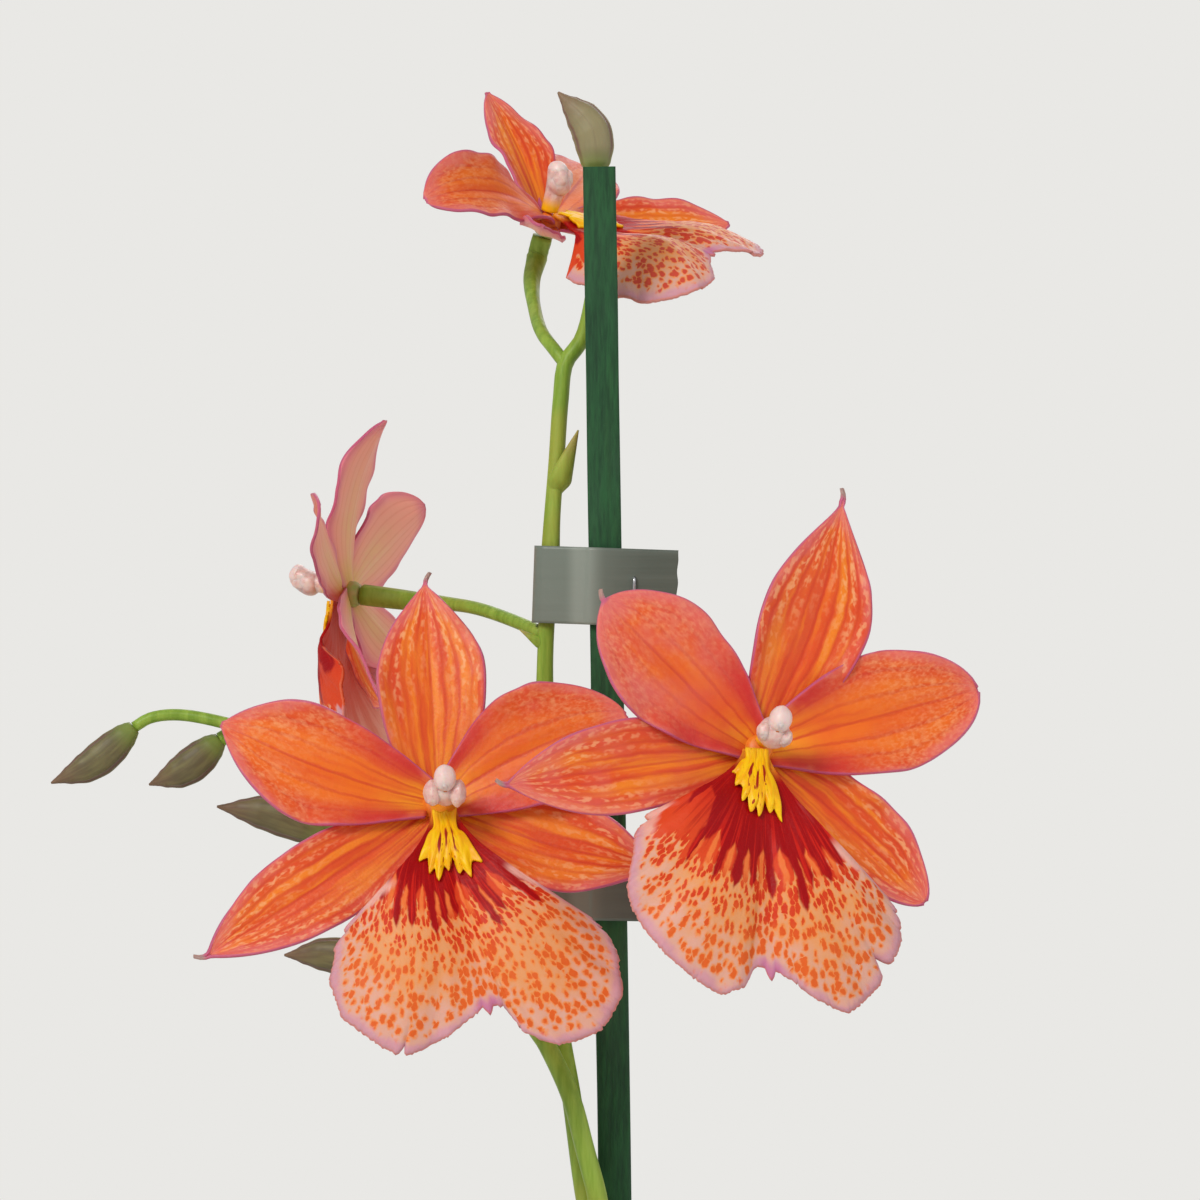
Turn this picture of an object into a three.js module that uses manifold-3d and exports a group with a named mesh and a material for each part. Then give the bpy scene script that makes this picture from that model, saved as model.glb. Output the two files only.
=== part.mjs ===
// Potted orchid with a staked flower spike, four open blooms and five buds.
// Millimetres, +Z up, origin at the centre of the pot's base. The open side of the spike faces -Y.

import * as THREE from "three";
import { mergeVertices } from "three/addons/utils/BufferGeometryUtils.js";
import Module from "manifold-3d";

const wasm = await Module();
wasm.setup();

const v3 = (x, y, z) => new THREE.Vector3(x, y, z);
const rad = THREE.MathUtils.degToRad;
const { clamp, lerp, smoothstep } = THREE.MathUtils;

// Driving dimensions
const gap = 0.3;
const overallHeight = 550;
const pot = {
  height: 112, topRadius: 60, baseRadius: 44, wall: 2.2, floor: 3, rimHeight: 12, rimOut: 2, edge: 1,
};
const drain = { count: 5, radius: 5, ring: 25 };
const bark = {
  top: 98, holeDepth: 12, chips: 26, chipLength: 18, chipWidth: 0.6, chipDepth: 5, chipTilt: 0.9, reach: 45,
  turn: 2.4, reliefTop: 8, holeRoom: 0.4, wellRoom: 0.7, leafWell: 6.8, overTop: 20,
};
const bulb = { height: 54, halfWidth: 15, halfDepth: 9, ridge: 0.035, ridges: 7, widest: 0.45 };
const stem = {
  foot: 2.3, top: 1.15, thins: [0.35, 0.85], node: 0.35, nodeSpread: 0.006, branchFoot: 1.5, branchTop: 0.8,
  pedicel: 0.95, pedicelTop: 0.5, budPedicel: 0.85, stalk: 7.5, budStalk: 2.5,
};
const stake = { width: 4.7, depth: 4.2, chamfer: 0.5, foot: v3(7.6, -4, 30), top: v3(-0.1, -4, 539) };
const tape = { height: 11, thickness: 0.6, clearance: 0.55, layerGap: 0.25 };
const wire = { size: 0.5, crown: 4.6, fold: 1.5 };
const tepal = { thickness: 0.7, start: 1, edge: 0.35, cup: 0.16, wave: 0.35, waves: 9, petalLayer: 0.7 };
const hub = { radius: 2.3, back: 2.2, bossRadius: 1.9, front: 2.1 };
const lip = { thickness: 0.7, claw: 1.8, clawTop: -0.6, flare: 1.6, neckRange: [0.5, 9] };
const lipRelief = {
  lobe: 1.8, lobeFrom: 0.28, lobeRange: [6, 13], middleSpread: 16, rimDrop: 2.2, rimWave: 0.55, rimWaves: 9,
};
const callus = {
  top: 0.05, end: 0.31, finger: 0.07, height: 1.1, ridge: 0.7, ridges: 5, base: 0.3, share: [0.85, 0.8],
  side: 0,
};
const column = {
  length: 9, halfWidth: 1.4, halfDepth: 1.25, wing: 1.7, wingAt: 0.6, cap: 1.75, capAt: 0.84,
  lean: 15, foot: [0, 1],
};

// Colours and finishes
const finish = (color, roughness, metalness = 0) =>
  new THREE.MeshStandardMaterial({ color, roughness, metalness });
const finishes = {
  potPlastic: finish(0x4a4d4a, 0.6),
  bark: finish(0x5b3d27, 0.95),
  bulbGreen: finish(0x7d9a45, 0.55),
  leafGreen: finish(0x4c7a2c, 0.5),
  stemGreen: finish(0x8ca546, 0.5),
  tepalOrange: finish(0xeb6e2d, 0.55),
  lipPeach: finish(0xeba58c, 0.6),
  callusYellow: finish(0xfabe00, 0.45),
  columnPink: finish(0xe6beb9, 0.45),
  budOlive: finish(0x786e50, 0.6),
  stakeGreen: finish(0x265c37, 0.75),
  tapeGrey: finish(0x707870, 0.35),
  wireSteel: finish(0xc8c8c8, 0.3, 1),
};

// Solids: closed geometry to a solid and back
function toSolid(geometry) {
  const bare = geometry.clone();
  bare.deleteAttribute("normal");
  bare.deleteAttribute("uv");
  const merged = mergeVertices(bare, 1e-4);
  return new wasm.Manifold(
    new wasm.Mesh({
      numProp: 3,
      vertProperties: new Float32Array(merged.attributes.position.array),
      triVerts: new Uint32Array(merged.index.array),
    }),
  );
}

function toGeometry(solid) {
  const whole = solid.decompose().reduce((most, body) => (body.volume() > most.volume() ? body : most));
  const { vertProperties, triVerts, numProp } = whole.getMesh();
  const positions = [];
  for (let i = 0; i < vertProperties.length; i += numProp) positions.push(...vertProperties.slice(i, i + 3));
  const geometry = new THREE.BufferGeometry();
  geometry.setAttribute("position", new THREE.Float32BufferAttribute(positions, 3));
  geometry.setIndex(new THREE.BufferAttribute(triVerts, 1));
  geometry.computeVertexNormals();
  return geometry;
}

const joined = (geometries) =>
  toGeometry(geometries.map(toSolid).reduce((whole, piece) => whole.add(piece)));

const cut = (geometry, cutters) =>
  toGeometry(cutters.map(toSolid).reduce((rest, cutter) => rest.subtract(cutter), toSolid(geometry)));

function piece(name, geometry, material) {
  const mesh = new THREE.Mesh(geometry, material);
  mesh.name = name;
  return mesh;
}

// A thin closed sheet over a grid, thickened along its normals or along one given direction.
// The two faces are split into triangles alike.
function sheet(rows, columns, pointAt, frontAt, backAt, direction = null) {
  const across = columns.length;
  const count = rows.length * across;
  const positions = [];
  const step = 1e-3;
  const front = [];
  const back = [];
  for (const u of rows) {
    for (const v of columns) {
      const here = pointAt(u, v);
      const du = pointAt(u + step, v).sub(pointAt(u - step, v));
      const dv = pointAt(u, v + step).sub(pointAt(u, v - step));
      const normal = direction ?? dv.cross(du).normalize();
      front.push(here.clone().addScaledVector(normal, frontAt(u, v)));
      back.push(here.clone().addScaledVector(normal, -backAt(u, v)));
    }
  }
  for (const p of [...front, ...back]) positions.push(p.x, p.y, p.z);
  const at = (i, j) => i * across + j;
  const index = [];
  const quad = (a, b, c, d) => index.push(a, b, c, a, c, d);
  for (let i = 0; i < rows.length - 1; i++) {
    for (let j = 0; j < across - 1; j++) {
      const [a, b, c, d] = [at(i, j), at(i, j + 1), at(i + 1, j + 1), at(i + 1, j)];
      quad(a, b, c, d);
      index.push(a + count, c + count, b + count, a + count, d + count, c + count);
    }
  }
  const last = rows.length - 1;
  const end = across - 1;
  for (let j = 0; j < end; j++) {
    quad(at(0, j + 1), at(0, j), at(0, j) + count, at(0, j + 1) + count);
    quad(at(last, j), at(last, j + 1), at(last, j + 1) + count, at(last, j) + count);
  }
  for (let i = 0; i < last; i++) {
    quad(at(i, 0), at(i + 1, 0), at(i + 1, 0) + count, at(i, 0) + count);
    quad(at(i + 1, end), at(i, end), at(i, end) + count, at(i + 1, end) + count);
  }
  const geometry = new THREE.BufferGeometry();
  geometry.setAttribute("position", new THREE.Float32BufferAttribute(positions, 3));
  geometry.setIndex(index);
  return geometry;
}

// A closed body along a path, made from a capped cylinder whose rings follow the path
function bodyAlong(points, radiusAt, { rows, sides, side = v3(1, 0, 0) }) {
  const path = new THREE.CatmullRomCurve3(points);
  const source = new THREE.CylinderGeometry(1, 1, 1, sides, rows);
  source.deleteAttribute("normal");
  source.deleteAttribute("uv");
  const geometry = mergeVertices(source, 1e-4);
  const position = geometry.attributes.position;
  for (let i = 0; i < position.count; i++) {
    const x = position.getX(i);
    const z = position.getZ(i);
    const t = clamp(position.getY(i) + 0.5, 0, 1);
    const along = path.getTangentAt(t);
    const first = side.clone().addScaledVector(along, -side.dot(along)).normalize();
    const second = first.clone().cross(along);
    const [a, b] = radiusAt(t, Math.atan2(z, x));
    const p = path.getPointAt(t).addScaledVector(first, x * a).addScaledVector(second, z * b);
    position.setXYZ(i, p.x, p.y, p.z);
  }
  return geometry;
}

const round = (radiusAt) => (t) => [radiusAt(t), radiusAt(t)];
const swelling = (t, place, spread) => Math.exp(-(((t - place) / spread) ** 2));

// A smooth value between listed [place, value] pairs
function between(pairs, place) {
  const next = pairs.findIndex(([at]) => at >= place);
  if (next <= 0) return pairs[next === 0 ? 0 : pairs.length - 1][1];
  const [a, from] = pairs[next - 1];
  const [b, to] = pairs[next];
  return lerp(from, to, smoothstep(place, a, b) * 0.5 + ((place - a) / (b - a)) * 0.5);
}

const spread = (count, from, to) =>
  Array.from({ length: count + 1 }, (_, i) => lerp(from, to, i / count));

// The same draw of numbers each time
function seeded(seed) {
  let state = seed;
  return () => {
    state = (state * 1664525 + 1013904223) % 4294967296;
    return state / 4294967296;
  };
}

// Pot
function potGeometry() {
  const { height, topRadius, baseRadius, wall, floor, rimHeight, rimOut, edge } = pot;
  const radiusAt = (z) => lerp(baseRadius, topRadius, z / height);
  const outline = [
    [0, 0], [baseRadius - 2 * edge, 0], [baseRadius, 2 * edge],
    [radiusAt(height - rimHeight), height - rimHeight],
    [radiusAt(height - rimHeight) + rimOut, height - rimHeight + edge],
    [topRadius + rimOut, height - 1.5 * edge], [topRadius + rimOut - edge, height],
    [topRadius - wall + edge, height], [topRadius - wall, height - edge],
    [radiusAt(floor) - wall, floor], [0, floor],
  ];
  const shell = new THREE.LatheGeometry(outline.map(([x, y]) => new THREE.Vector2(x, y)), 30);
  shell.rotateX(Math.PI / 2);
  const holes = spread(drain.count - 1, 0, 360 * (1 - 1 / drain.count)).map((angle) => {
    const hole = new THREE.CylinderGeometry(drain.radius, drain.radius, floor * 3, 16);
    hole.rotateX(Math.PI / 2);
    return hole.translate(drain.ring * Math.cos(rad(angle)), drain.ring * Math.sin(rad(angle)), 0);
  });
  return cut(shell, holes);
}

// Pseudobulbs: flattened, ridged bodies that stand in the bark. Each carries its own leaves.
const bulbs = [
  { at: [12, 15], turn: 4, scale: 1 },
  { at: [-8, 39], turn: 8, scale: 0.86 },
  { at: [-10, -31], turn: -6, scale: 0.78 },
];

const bulbFoot = bark.top - bark.holeDepth;
const bulbTop = ({ scale }) => bark.top + bulb.height * scale;
const bulbSwell = [[0, 0.62], [0.2, 0.8], [0.45, 1], [0.7, 0.86], [0.9, 0.62], [1, 0.5]];

function bulbRadius(spec, t, angle = 0) {
  const ridges = 1 + bulb.ridge * Math.cos(bulb.ridges * angle);
  const swell = between(bulbSwell, t) * spec.scale * ridges;
  return [bulb.halfWidth * swell, bulb.halfDepth * swell];
}

function bulbGeometry(spec) {
  const [x, y] = spec.at;
  return bodyAlong([v3(x, y, bulbFoot), v3(x, y, bulbTop(spec))], (t, angle) => bulbRadius(spec, t, angle), {
    rows: 8, sides: 14, side: v3(Math.cos(rad(spec.turn)), Math.sin(rad(spec.turn)), 0),
  });
}

// Leaves: arching straps with a keel, folded together at the foot
const leaves = [
  { bulb: 0, foot: "top", side: 1, heading: 2, length: 250, width: 29, tilt: 7, droop: 74 },
  { bulb: 0, foot: "top", side: -1, heading: 178, length: 236, width: 28, tilt: 9, droop: 84 },
  { bulb: 0, foot: "soil", side: 1, heading: 352, length: 190, width: 26, tilt: 24, droop: 82 },
  { bulb: 0, foot: "soil", side: -1, heading: 187, length: 176, width: 25, tilt: 28, droop: 74 },
  { bulb: 1, foot: "top", side: 1, heading: 52, length: 228, width: 27, tilt: 6, droop: 70 },
  { bulb: 1, foot: "top", side: -1, heading: 136, length: 242, width: 28, tilt: 8, droop: 90 },
  { bulb: 2, foot: "top", side: 1, heading: 312, length: 196, width: 26, tilt: 12, droop: 86 },
  { bulb: 2, foot: "top", side: -1, heading: 226, length: 212, width: 26, tilt: 10, droop: 78 },
];
const leafBlade = {
  thickness: 0.9, footHalfWidth: 4.6, tipHalfWidth: 0.6, widest: 0.45, point: 0.72, apart: 5.2, soilDepth: 6,
  soilApart: 7.5, steps: 24, droopPower: 1.4, folds: [58, 17], keelRound: 0.2,
};

function leafFoot(spec) {
  const owner = bulbs[spec.bulb];
  const turn = rad(owner.turn);
  const soil = spec.foot === "soil";
  const away = soil ? bulb.halfWidth * owner.scale + leafBlade.soilApart : leafBlade.apart;
  const z = soil ? bark.top - leafBlade.soilDepth : bulbTop(owner) + gap + leafBlade.thickness / 2;
  const reach = away * spec.side;
  return v3(owner.at[0] + reach * Math.cos(turn), owner.at[1] + reach * Math.sin(turn), z);
}

function leafGeometry(spec) {
  const out = v3(Math.cos(rad(spec.heading)), Math.sin(rad(spec.heading)), 0);
  const side = v3(-out.y, out.x, 0);
  const foot = leafFoot(spec);
  const { steps, widest, point, droopPower, footHalfWidth, tipHalfWidth, folds, keelRound } = leafBlade;
  const spine = [foot.clone()];
  const lean = (u) => rad(spec.tilt + spec.droop * u ** droopPower);
  for (let i = 1; i <= steps; i++) {
    const angle = lean((i - 0.5) / steps);
    const move = out.clone().multiplyScalar(Math.sin(angle)).setZ(Math.cos(angle));
    spine.push(spine[i - 1].clone().addScaledVector(move, spec.length / steps));
  }
  const path = new THREE.CatmullRomCurve3(spine);
  const tapered = (u) => Math.sin((Math.PI / 2) * (clamp(1 - u, 0, 1) / (1 - widest))) ** point;
  const widthAt = (u) =>
    u < widest
      ? lerp(footHalfWidth, spec.width / 2, smoothstep(u, 0, widest))
      : Math.max(tipHalfWidth, (spec.width / 2) * tapered(u));
  const pointAt = (u, v) => {
    const t = clamp(u, 0, 1);
    const along = path.getTangentAt(t);
    const up = along.clone().cross(side);
    const fold = rad(lerp(...folds, smoothstep(u, 0, 0.5)));
    const reach = widthAt(u) * v;
    return path
      .getPointAt(t)
      .addScaledVector(along, (u - t) * spec.length)
      .addScaledVector(side, reach * Math.cos(fold))
      .addScaledVector(up, Math.sqrt(reach ** 2 + keelRound) * Math.sin(fold));
  };
  const half = () => leafBlade.thickness / 2;
  return sheet([...spread(9, 0, 0.93), 0.97, 1], spread(4, -1, 1), pointAt, half, half);
}

// Spike: main stem, side branch, pedicels and bracts, grown as one piece
const stemFoot = v3(27, 3, bark.top - bark.holeDepth);
const mainStem = [
  stemFoot, v3(25.5, 1, 135), v3(22, -4, 200), v3(15, -9, 280), v3(6, -11, 348), v3(0.8, -10.6, 379),
  v3(-2, -9.5, 392.3), v3(-4.1, -8, 407.2), v3(-5.6, -6, 416), v3(-7, -4, 428.2), v3(-7.4, -3, 437.5),
  v3(-7.7, -2.5, 451.7), v3(-7.9, -2.1, 465.9), v3(-7.6, -2, 475), v3(-7.2, -2, 481), v3(-6.8, -1.8, 489.1),
  v3(-6.2, -1.2, 497), v3(-5.6, -0.5, 505.9), v3(-4.9, 0, 511.3), v3(-2.6, 0.1, 514.6),
  v3(-1.1, -0.1, 520.3), v3(-0.2, -0.2, 529), v3(0, -0.2, 536), v3(-0.5, -0.2, 538.2),
];
const sideBranch = [
  v3(0.8, -10.6, 379), v3(0.4, -11.8, 386), v3(-0.3, -12.6, 392.5), v3(-2.1, -13, 399.6),
  v3(-4.2, -13, 407.3), v3(-8.2, -11.5, 415.7), v3(-12.8, -9, 423.5), v3(-18.5, -5, 434.7),
  v3(-25.7, -2, 444.5), v3(-35.8, 0, 452.3), v3(-44.4, 1, 456.6), v3(-53.6, 2, 459.7),
  v3(-60.7, 3, 460.9), v3(-64.6, 3, 460.4), v3(-66.8, 3, 459.1),
];
const buds = [
  { from: null, foot: v3(-66.8, 3, 459.1), tip: v3(-78.7, 3, 451.1), radius: 2.5, belly: v3(0, 0, -1.2) },
  {
    from: v3(-47.5, 1.4, 457.8), foot: v3(-54.5, 5, 457.3), tip: v3(-64.8, 5.5, 450.8), radius: 2.6,
    belly: v3(0, 0, -1),
  },
  {
    from: v3(-30.5, -1, 448.6), foot: v3(-38.4, 8, 443.2), tip: v3(-55.2, 8.5, 447.6), radius: 2.8,
    belly: v3(0, 0, 1),
  },
  {
    from: v3(-19.5, -4.4, 436.2), foot: v3(-31.2, 5, 424.4), tip: v3(-45.4, 6, 426.3), radius: 2.7,
    belly: v3(0, 0, 1),
  },
  {
    from: null, foot: v3(-0.5, -0.2, 538.2), tip: v3(-6, 0.4, overallHeight), radius: 2.9,
    belly: v3(2, 0, 0.4),
  },
];
const bracts = [
  { foot: v3(-6.1, -1.8, 493.5), tip: v3(-3.3, -2.8, 501.1), radius: 1.3 },
  { foot: v3(-8.2, -2.2, 471), tip: v3(-11.6, -2.6, 473.2), radius: 0.9 },
  { foot: v3(1.2, -11.2, 377), tip: v3(3.6, -14, 384), radius: 1.3 },
  { foot: v3(21, -5, 205), tip: v3(25, -8, 218), radius: 1.6 },
  { foot: v3(13, -10, 292), tip: v3(9.6, -13, 303), radius: 1.5 },
];

// Blooms. Angles are in degrees: a tepal's angle is counted from the dorsal sepal's direction,
// seen from the front; rise lifts its foot towards the front and bend carries its tip back.
// A lip's waist is the share of its length before it widens, and shift moves its claw sideways.
// A callus covers a share of the lip's width, and side carries its end across the lip.
const sepal = { widest: 0.54, foot: 0.36, swell: 1, point: 0.78 };
const petal = { widest: 0.57, foot: 0.32, swell: 1.1, point: 0.56 };

// Lip outlines from shoulder to shoulder: the angle about a point on the neck and the radius
const broadLip = [
  [66, 20.5], [62, 23.8], [55, 27], [47, 30.3], [37, 31.5], [26, 29.9], [19, 26.2], [16, 21.5], [10, 20.5],
  [3, 22.2], [-8, 25.3], [-18, 28.4], [-37, 26.8], [-48, 24.1], [-57, 20.4], [-64, 17],
];
const squareLip = [
  [62, 20.2], [57, 23.4], [50, 25.2], [43, 26.2], [35, 27.8], [25, 28.9], [18, 26.4], [10, 22.6], [3, 20.8],
  [-3, 20.7], [-7, 24], [-13, 25.6], [-34, 24.3], [-56, 22.6], [-75, 19.2], [-86, 17.2], [-91, 15.8],
];
const youngLip = [
  [82, 14], [68, 19], [55, 24], [42, 27.6], [30, 28.8], [19, 26.8], [8, 22], [0, 19.4],
  [-8, 22], [-19, 26.8], [-30, 28.8], [-42, 27.6], [-55, 24], [-68, 19], [-82, 14],
];

const blooms = [
  {
    centre: v3(-22.8, -19, 448.5), yaw: 0, pitch: 18, roll: 0, scale: 1,
    lip: {
      outline: broadLip, centre: [1.5, -11], middle: 10, turn: 4, forward: 0.12, roof: 0, neck: 2.6,
      waist: 0.08, shift: 0.85,
    },
    column: { lean: -3, foot: [0.85, 0.6] },
    from: v3(-20.5, -3.8, 437.5),
    tepals: [
      { kind: sepal, angle: 3.5, length: 31.3, width: 15.7, rise: 10, bend: -14 },
      { kind: petal, angle: 70, length: 31.6, width: 16.8, rise: 12, bend: -16 },
      { kind: petal, angle: -66, length: 28.4, width: 16.8, rise: 14, bend: -12 },
      { kind: sepal, angle: 125, length: 37.9, width: 13.2, rise: 8, bend: -12, sway: -0.6 },
      { kind: sepal, angle: -107, length: 31, width: 13, rise: 8, bend: -12, sway: 1.2 },
    ],
  },
  {
    centre: v3(21.8, -33, 456.5), yaw: 14, pitch: 12, roll: -19, scale: 1,
    lip: {
      outline: squareLip, centre: [0, -11], middle: 3, turn: 14, forward: 0.12, roof: 0, neck: 2.6,
      waist: 0, shift: -1,
    },
    callus: { top: 0, end: 0.27, share: [0.85, 0.7], side: 0.24 },
    column: { lean: 12 },
    from: v3(-7.6, -2.6, 447),
    via: [v3(-3, 1.8, 448.6), v3(3.4, 2.6, 450), v3(10.5, -3, 451.6), v3(16.6, -15, 453.6)],
    tepals: [
      { kind: sepal, angle: -2.4, length: 36.6, width: 15.5, rise: 11, bend: -14, sway: 1.5, point: 1.2 },
      { kind: petal, angle: 65, length: 29.9, width: 17.5, rise: 12, bend: -16 },
      { kind: petal, angle: -57, length: 31.7, width: 17.2, rise: 12, bend: -16 },
      { kind: sepal, angle: 117, length: 35.9, width: 13, rise: 7, bend: -6 },
      { kind: sepal, angle: -115, length: 30.5, width: 12, rise: 8, bend: -12, sway: -0.6 },
    ],
  },
  {
    centre: v3(-7.6, 22, 532), yaw: 54, pitch: 59, roll: 7, scale: 0.8,
    lip: {
      outline: youngLip, centre: [0, -10], middle: 0, turn: 9, forward: 0.3, swing: [4, 26], roof: 0.4,
      neck: 1.4,
    },
    from: v3(-5, 0, 511.2), stalk: 3,
    via: [v3(-6.6, 1.5, 513.3), v3(-8.2, 4.5, 515.5), v3(-9.4, 12, 519.2), v3(-9.9, 19.5, 524)],
    tepals: [
      { kind: sepal, angle: -15, length: 23.4, width: 9, rise: 31, bend: -10, sway: 1, twist: 15 },
      { kind: petal, angle: 71, length: 24.6, width: 11.5, rise: 29, bend: -60, twist: 28 },
      { kind: petal, angle: -68, length: 23.7, width: 13, rise: 14, bend: -12 },
      { kind: sepal, angle: 114, length: 15, width: 7, rise: 0, bend: 30 },
      { kind: sepal, angle: -119, length: 29.4, width: 12, rise: 4, bend: 22, twist: -28 },
    ],
  },
  {
    centre: v3(-36.8, 32, 478.2), yaw: -110, pitch: 2, roll: 0, scale: 0.84,
    lip: { outline: youngLip, centre: [0, -10], middle: 0, turn: 2, forward: -0.12, roof: -0.3, neck: 0.4 },
    from: v3(-8.2, -1.6, 472.6), via: [v3(-10, 1.4, 473.4), v3(-18.1, 14, 476.2)],
    tepals: [
      { kind: sepal, angle: 0, length: 25.8, width: 12.4, rise: 12, bend: -46 },
      { kind: petal, angle: 58, length: 24.3, width: 13, rise: 1, bend: -20 },
      { kind: petal, angle: -62, length: 26.8, width: 11.5, rise: -1, bend: -20, twist: -12 },
      { kind: sepal, angle: 130, length: 18, width: 10, rise: -12, bend: -16 },
      { kind: sepal, angle: -127, length: 28.6, width: 10.5, rise: -19, bend: -22 },
    ],
  },
];

// A bloom's own frame has X to its right, Y to its dorsal sepal and Z out of its face.
function bloomTurn({ yaw, pitch, roll }) {
  const about = (x, y, z, angle) => new THREE.Quaternion().setFromAxisAngle(v3(x, y, z), rad(angle));
  return about(0, 0, 1, yaw).multiply(about(1, 0, 0, 90 - pitch)).multiply(about(0, 0, 1, roll));
}

const bloomPoint = (spec, x, y, z) => v3(x, y, z).applyQuaternion(bloomTurn(spec)).add(spec.centre);

function tepalWidth(spec, u) {
  const { widest, foot, swell, point } = { ...spec.kind, ...spec };
  const share =
    u < widest
      ? foot + (1 - foot) * Math.sin((Math.PI / 2) * (clamp(u, 0, 1) / widest)) ** swell
      : Math.sin((Math.PI / 2) * (clamp(1 - u, 0, 1) / (1 - widest))) ** point;
  return Math.max(tepal.edge, (spec.width / 2) * share);
}

// The sheet's middle surface, arched along its length and cupped across it
function tepalPoint(spec, u, v) {
  const rise = rad(spec.rise);
  const bend = rad(spec.bend);
  const along = tepal.start + (spec.length * (Math.sin(rise + bend * u) - Math.sin(rise))) / bend;
  const lift = (spec.length * (Math.cos(rise) - Math.cos(rise + bend * u))) / bend;
  const twist = rad(spec.twist ?? 0) * smoothstep(u, 0, 0.5);
  const span = tepalWidth(spec, u) * v;
  const reach = span * Math.cos(twist) + (spec.sway ?? 0) * Math.sin(Math.PI * u);
  const wave = tepal.wave * v ** 2 * Math.sin(tepal.waves * u + spec.angle);
  const cup = tepal.cup * Math.abs(span * v) + wave + span * Math.sin(twist);
  const lean = rise + bend * u;
  const out = along - cup * Math.sin(lean);
  const angle = rad(spec.angle);
  const layer = spec.kind === petal ? tepal.petalLayer : 0;
  return v3(
    -Math.sin(angle) * out + Math.cos(angle) * reach,
    Math.cos(angle) * out + Math.sin(angle) * reach,
    layer + lift + cup * Math.cos(lean),
  );
}

function tepalsGeometry(spec) {
  const half = () => tepal.thickness / 2;
  const rows = [0, 0.16, 0.34, 0.52, 0.7, 0.87, 1];
  const blades = spec.tepals.map((one) =>
    sheet(rows, spread(4, -1, 1), (u, v) => tepalPoint(one, u, v), half, half),
  );
  const button = [
    [0, -hub.back], [hub.radius * 0.7, -hub.back], [hub.radius, -hub.back * 0.4],
    [hub.radius, 0.4], [hub.bossRadius, hub.front], [0, hub.front],
  ];
  const seat = new THREE.LatheGeometry(button.map(([x, y]) => new THREE.Vector2(x, y)), 12);
  return joined([seat.rotateX(Math.PI / 2).scale(spec.scale, spec.scale, spec.scale), ...blades]);
}

// The lip fans out from its claw to its outline; v runs from 1 at one end of it to -1 at the other.
function lipPoint({ lip: own }, u, v) {
  const ends = [own.outline[0][0], own.outline[own.outline.length - 1][0]];
  const angle = lerp(ends[0], ends[1], (v + 1) / 2);
  const radius = between([...own.outline].reverse(), angle);
  const edgeX = own.centre[0] + radius * Math.sin(rad(angle));
  const edgeY = own.centre[1] - radius * Math.cos(rad(angle));
  const { waist = 0, shift = 0 } = own;
  const x = lerp(shift - lip.claw * v, edgeX, Math.max((u - waist) / (1 - waist), 0) ** lip.flare);
  const y = lerp(lip.clawTop, edgeY, u);
  const neck = own.neck * smoothstep(-y, ...lip.neckRange);
  const { lobe, lobeFrom, lobeRange, middleSpread, rimDrop, rimWave, rimWaves } = lipRelief;
  const along = Math.sin(Math.PI * clamp((u - lobeFrom) / (1 - lobeFrom), 0, 1));
  const lobeShare = along * smoothstep(Math.hypot(x, y), ...lobeRange);
  const lobes = lobe * lobeShare * (1 - swelling(angle, own.middle, middleSpread));
  const rim = -rimDrop * u ** 4 + rimWave * Math.sin(rad(angle) * rimWaves) * u ** 3;
  const swing = own.swing ? smoothstep(-y, ...own.swing) : 1;
  const droop = -y * own.forward * swing - Math.max(0, -x * Math.sign(own.roof)) * Math.abs(own.roof) * u;
  const z = hub.front + gap + lip.thickness / 2 + neck + lobes + rim + droop;
  const turn = rad(own.turn);
  return v3(x * Math.cos(turn) - y * Math.sin(turn), x * Math.sin(turn) + y * Math.cos(turn), z);
}

function lipGeometry(spec) {
  const half = () => lip.thickness / 2;
  const { outline } = spec.lip;
  const [first, last] = [outline[0][0], outline[outline.length - 1][0]];
  const columns = outline.map(([angle]) => (2 * (angle - first)) / (last - first) - 1);
  return sheet([0, 0.14, 0.28, 0.46, 0.66, 0.84, 1], columns, (u, v) => lipPoint(spec, u, v), half, half);
}

// The callus lies on the neck of the lip, with fingers that point to its lobes.
function callusGeometry(spec) {
  const { top, end, finger, height, ridge, ridges, base, share, side } = { ...callus, ...spec.callus };
  const crest = (v) => 0.5 + 0.5 * Math.cos(Math.PI * ridges * v);
  const at = (u, v) =>
    lipPoint(spec, lerp(top, end + finger * crest(v), u), v * lerp(...share, u) + side * u);
  const under = lip.thickness / 2 + 1.8 * gap;
  const over = (u, v) => under + base + height * Math.sin(Math.PI * (0.12 + 0.8 * u)) + ridge * crest(v);
  return sheet([0, 0.3, 0.65, 1], spread(10, -1, 1), at, over, () => -under, v3(0, 0, 1));
}

function columnGeometry(spec) {
  const own = { ...column, ...spec.column };
  const { length, halfWidth, halfDepth, wing, wingAt, cap, capAt, lean } = own;
  const foot = v3(...own.foot, hub.front + gap);
  const tip = foot.clone().add(v3(0, Math.sin(rad(lean)), Math.cos(rad(lean))).multiplyScalar(length));
  const middle = foot.clone().lerp(tip, 0.45).add(v3(0, -0.3, 0.1));
  const radiusAt = (t) => {
    const knob = cap * Math.sqrt(Math.max(0.02, 1 - ((t - capAt) / (1 - capAt)) ** 2));
    const neck = lerp(0.8, 1, smoothstep(t, 0, 0.3));
    const wings = wing * swelling(t, wingAt, 0.11);
    return t > capAt - 0.02 ? [knob, knob] : [halfWidth * neck + wings, halfDepth * neck];
  };
  return bodyAlong([foot, middle, tip], radiusAt, { rows: 11, sides: 8 });
}

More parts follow.
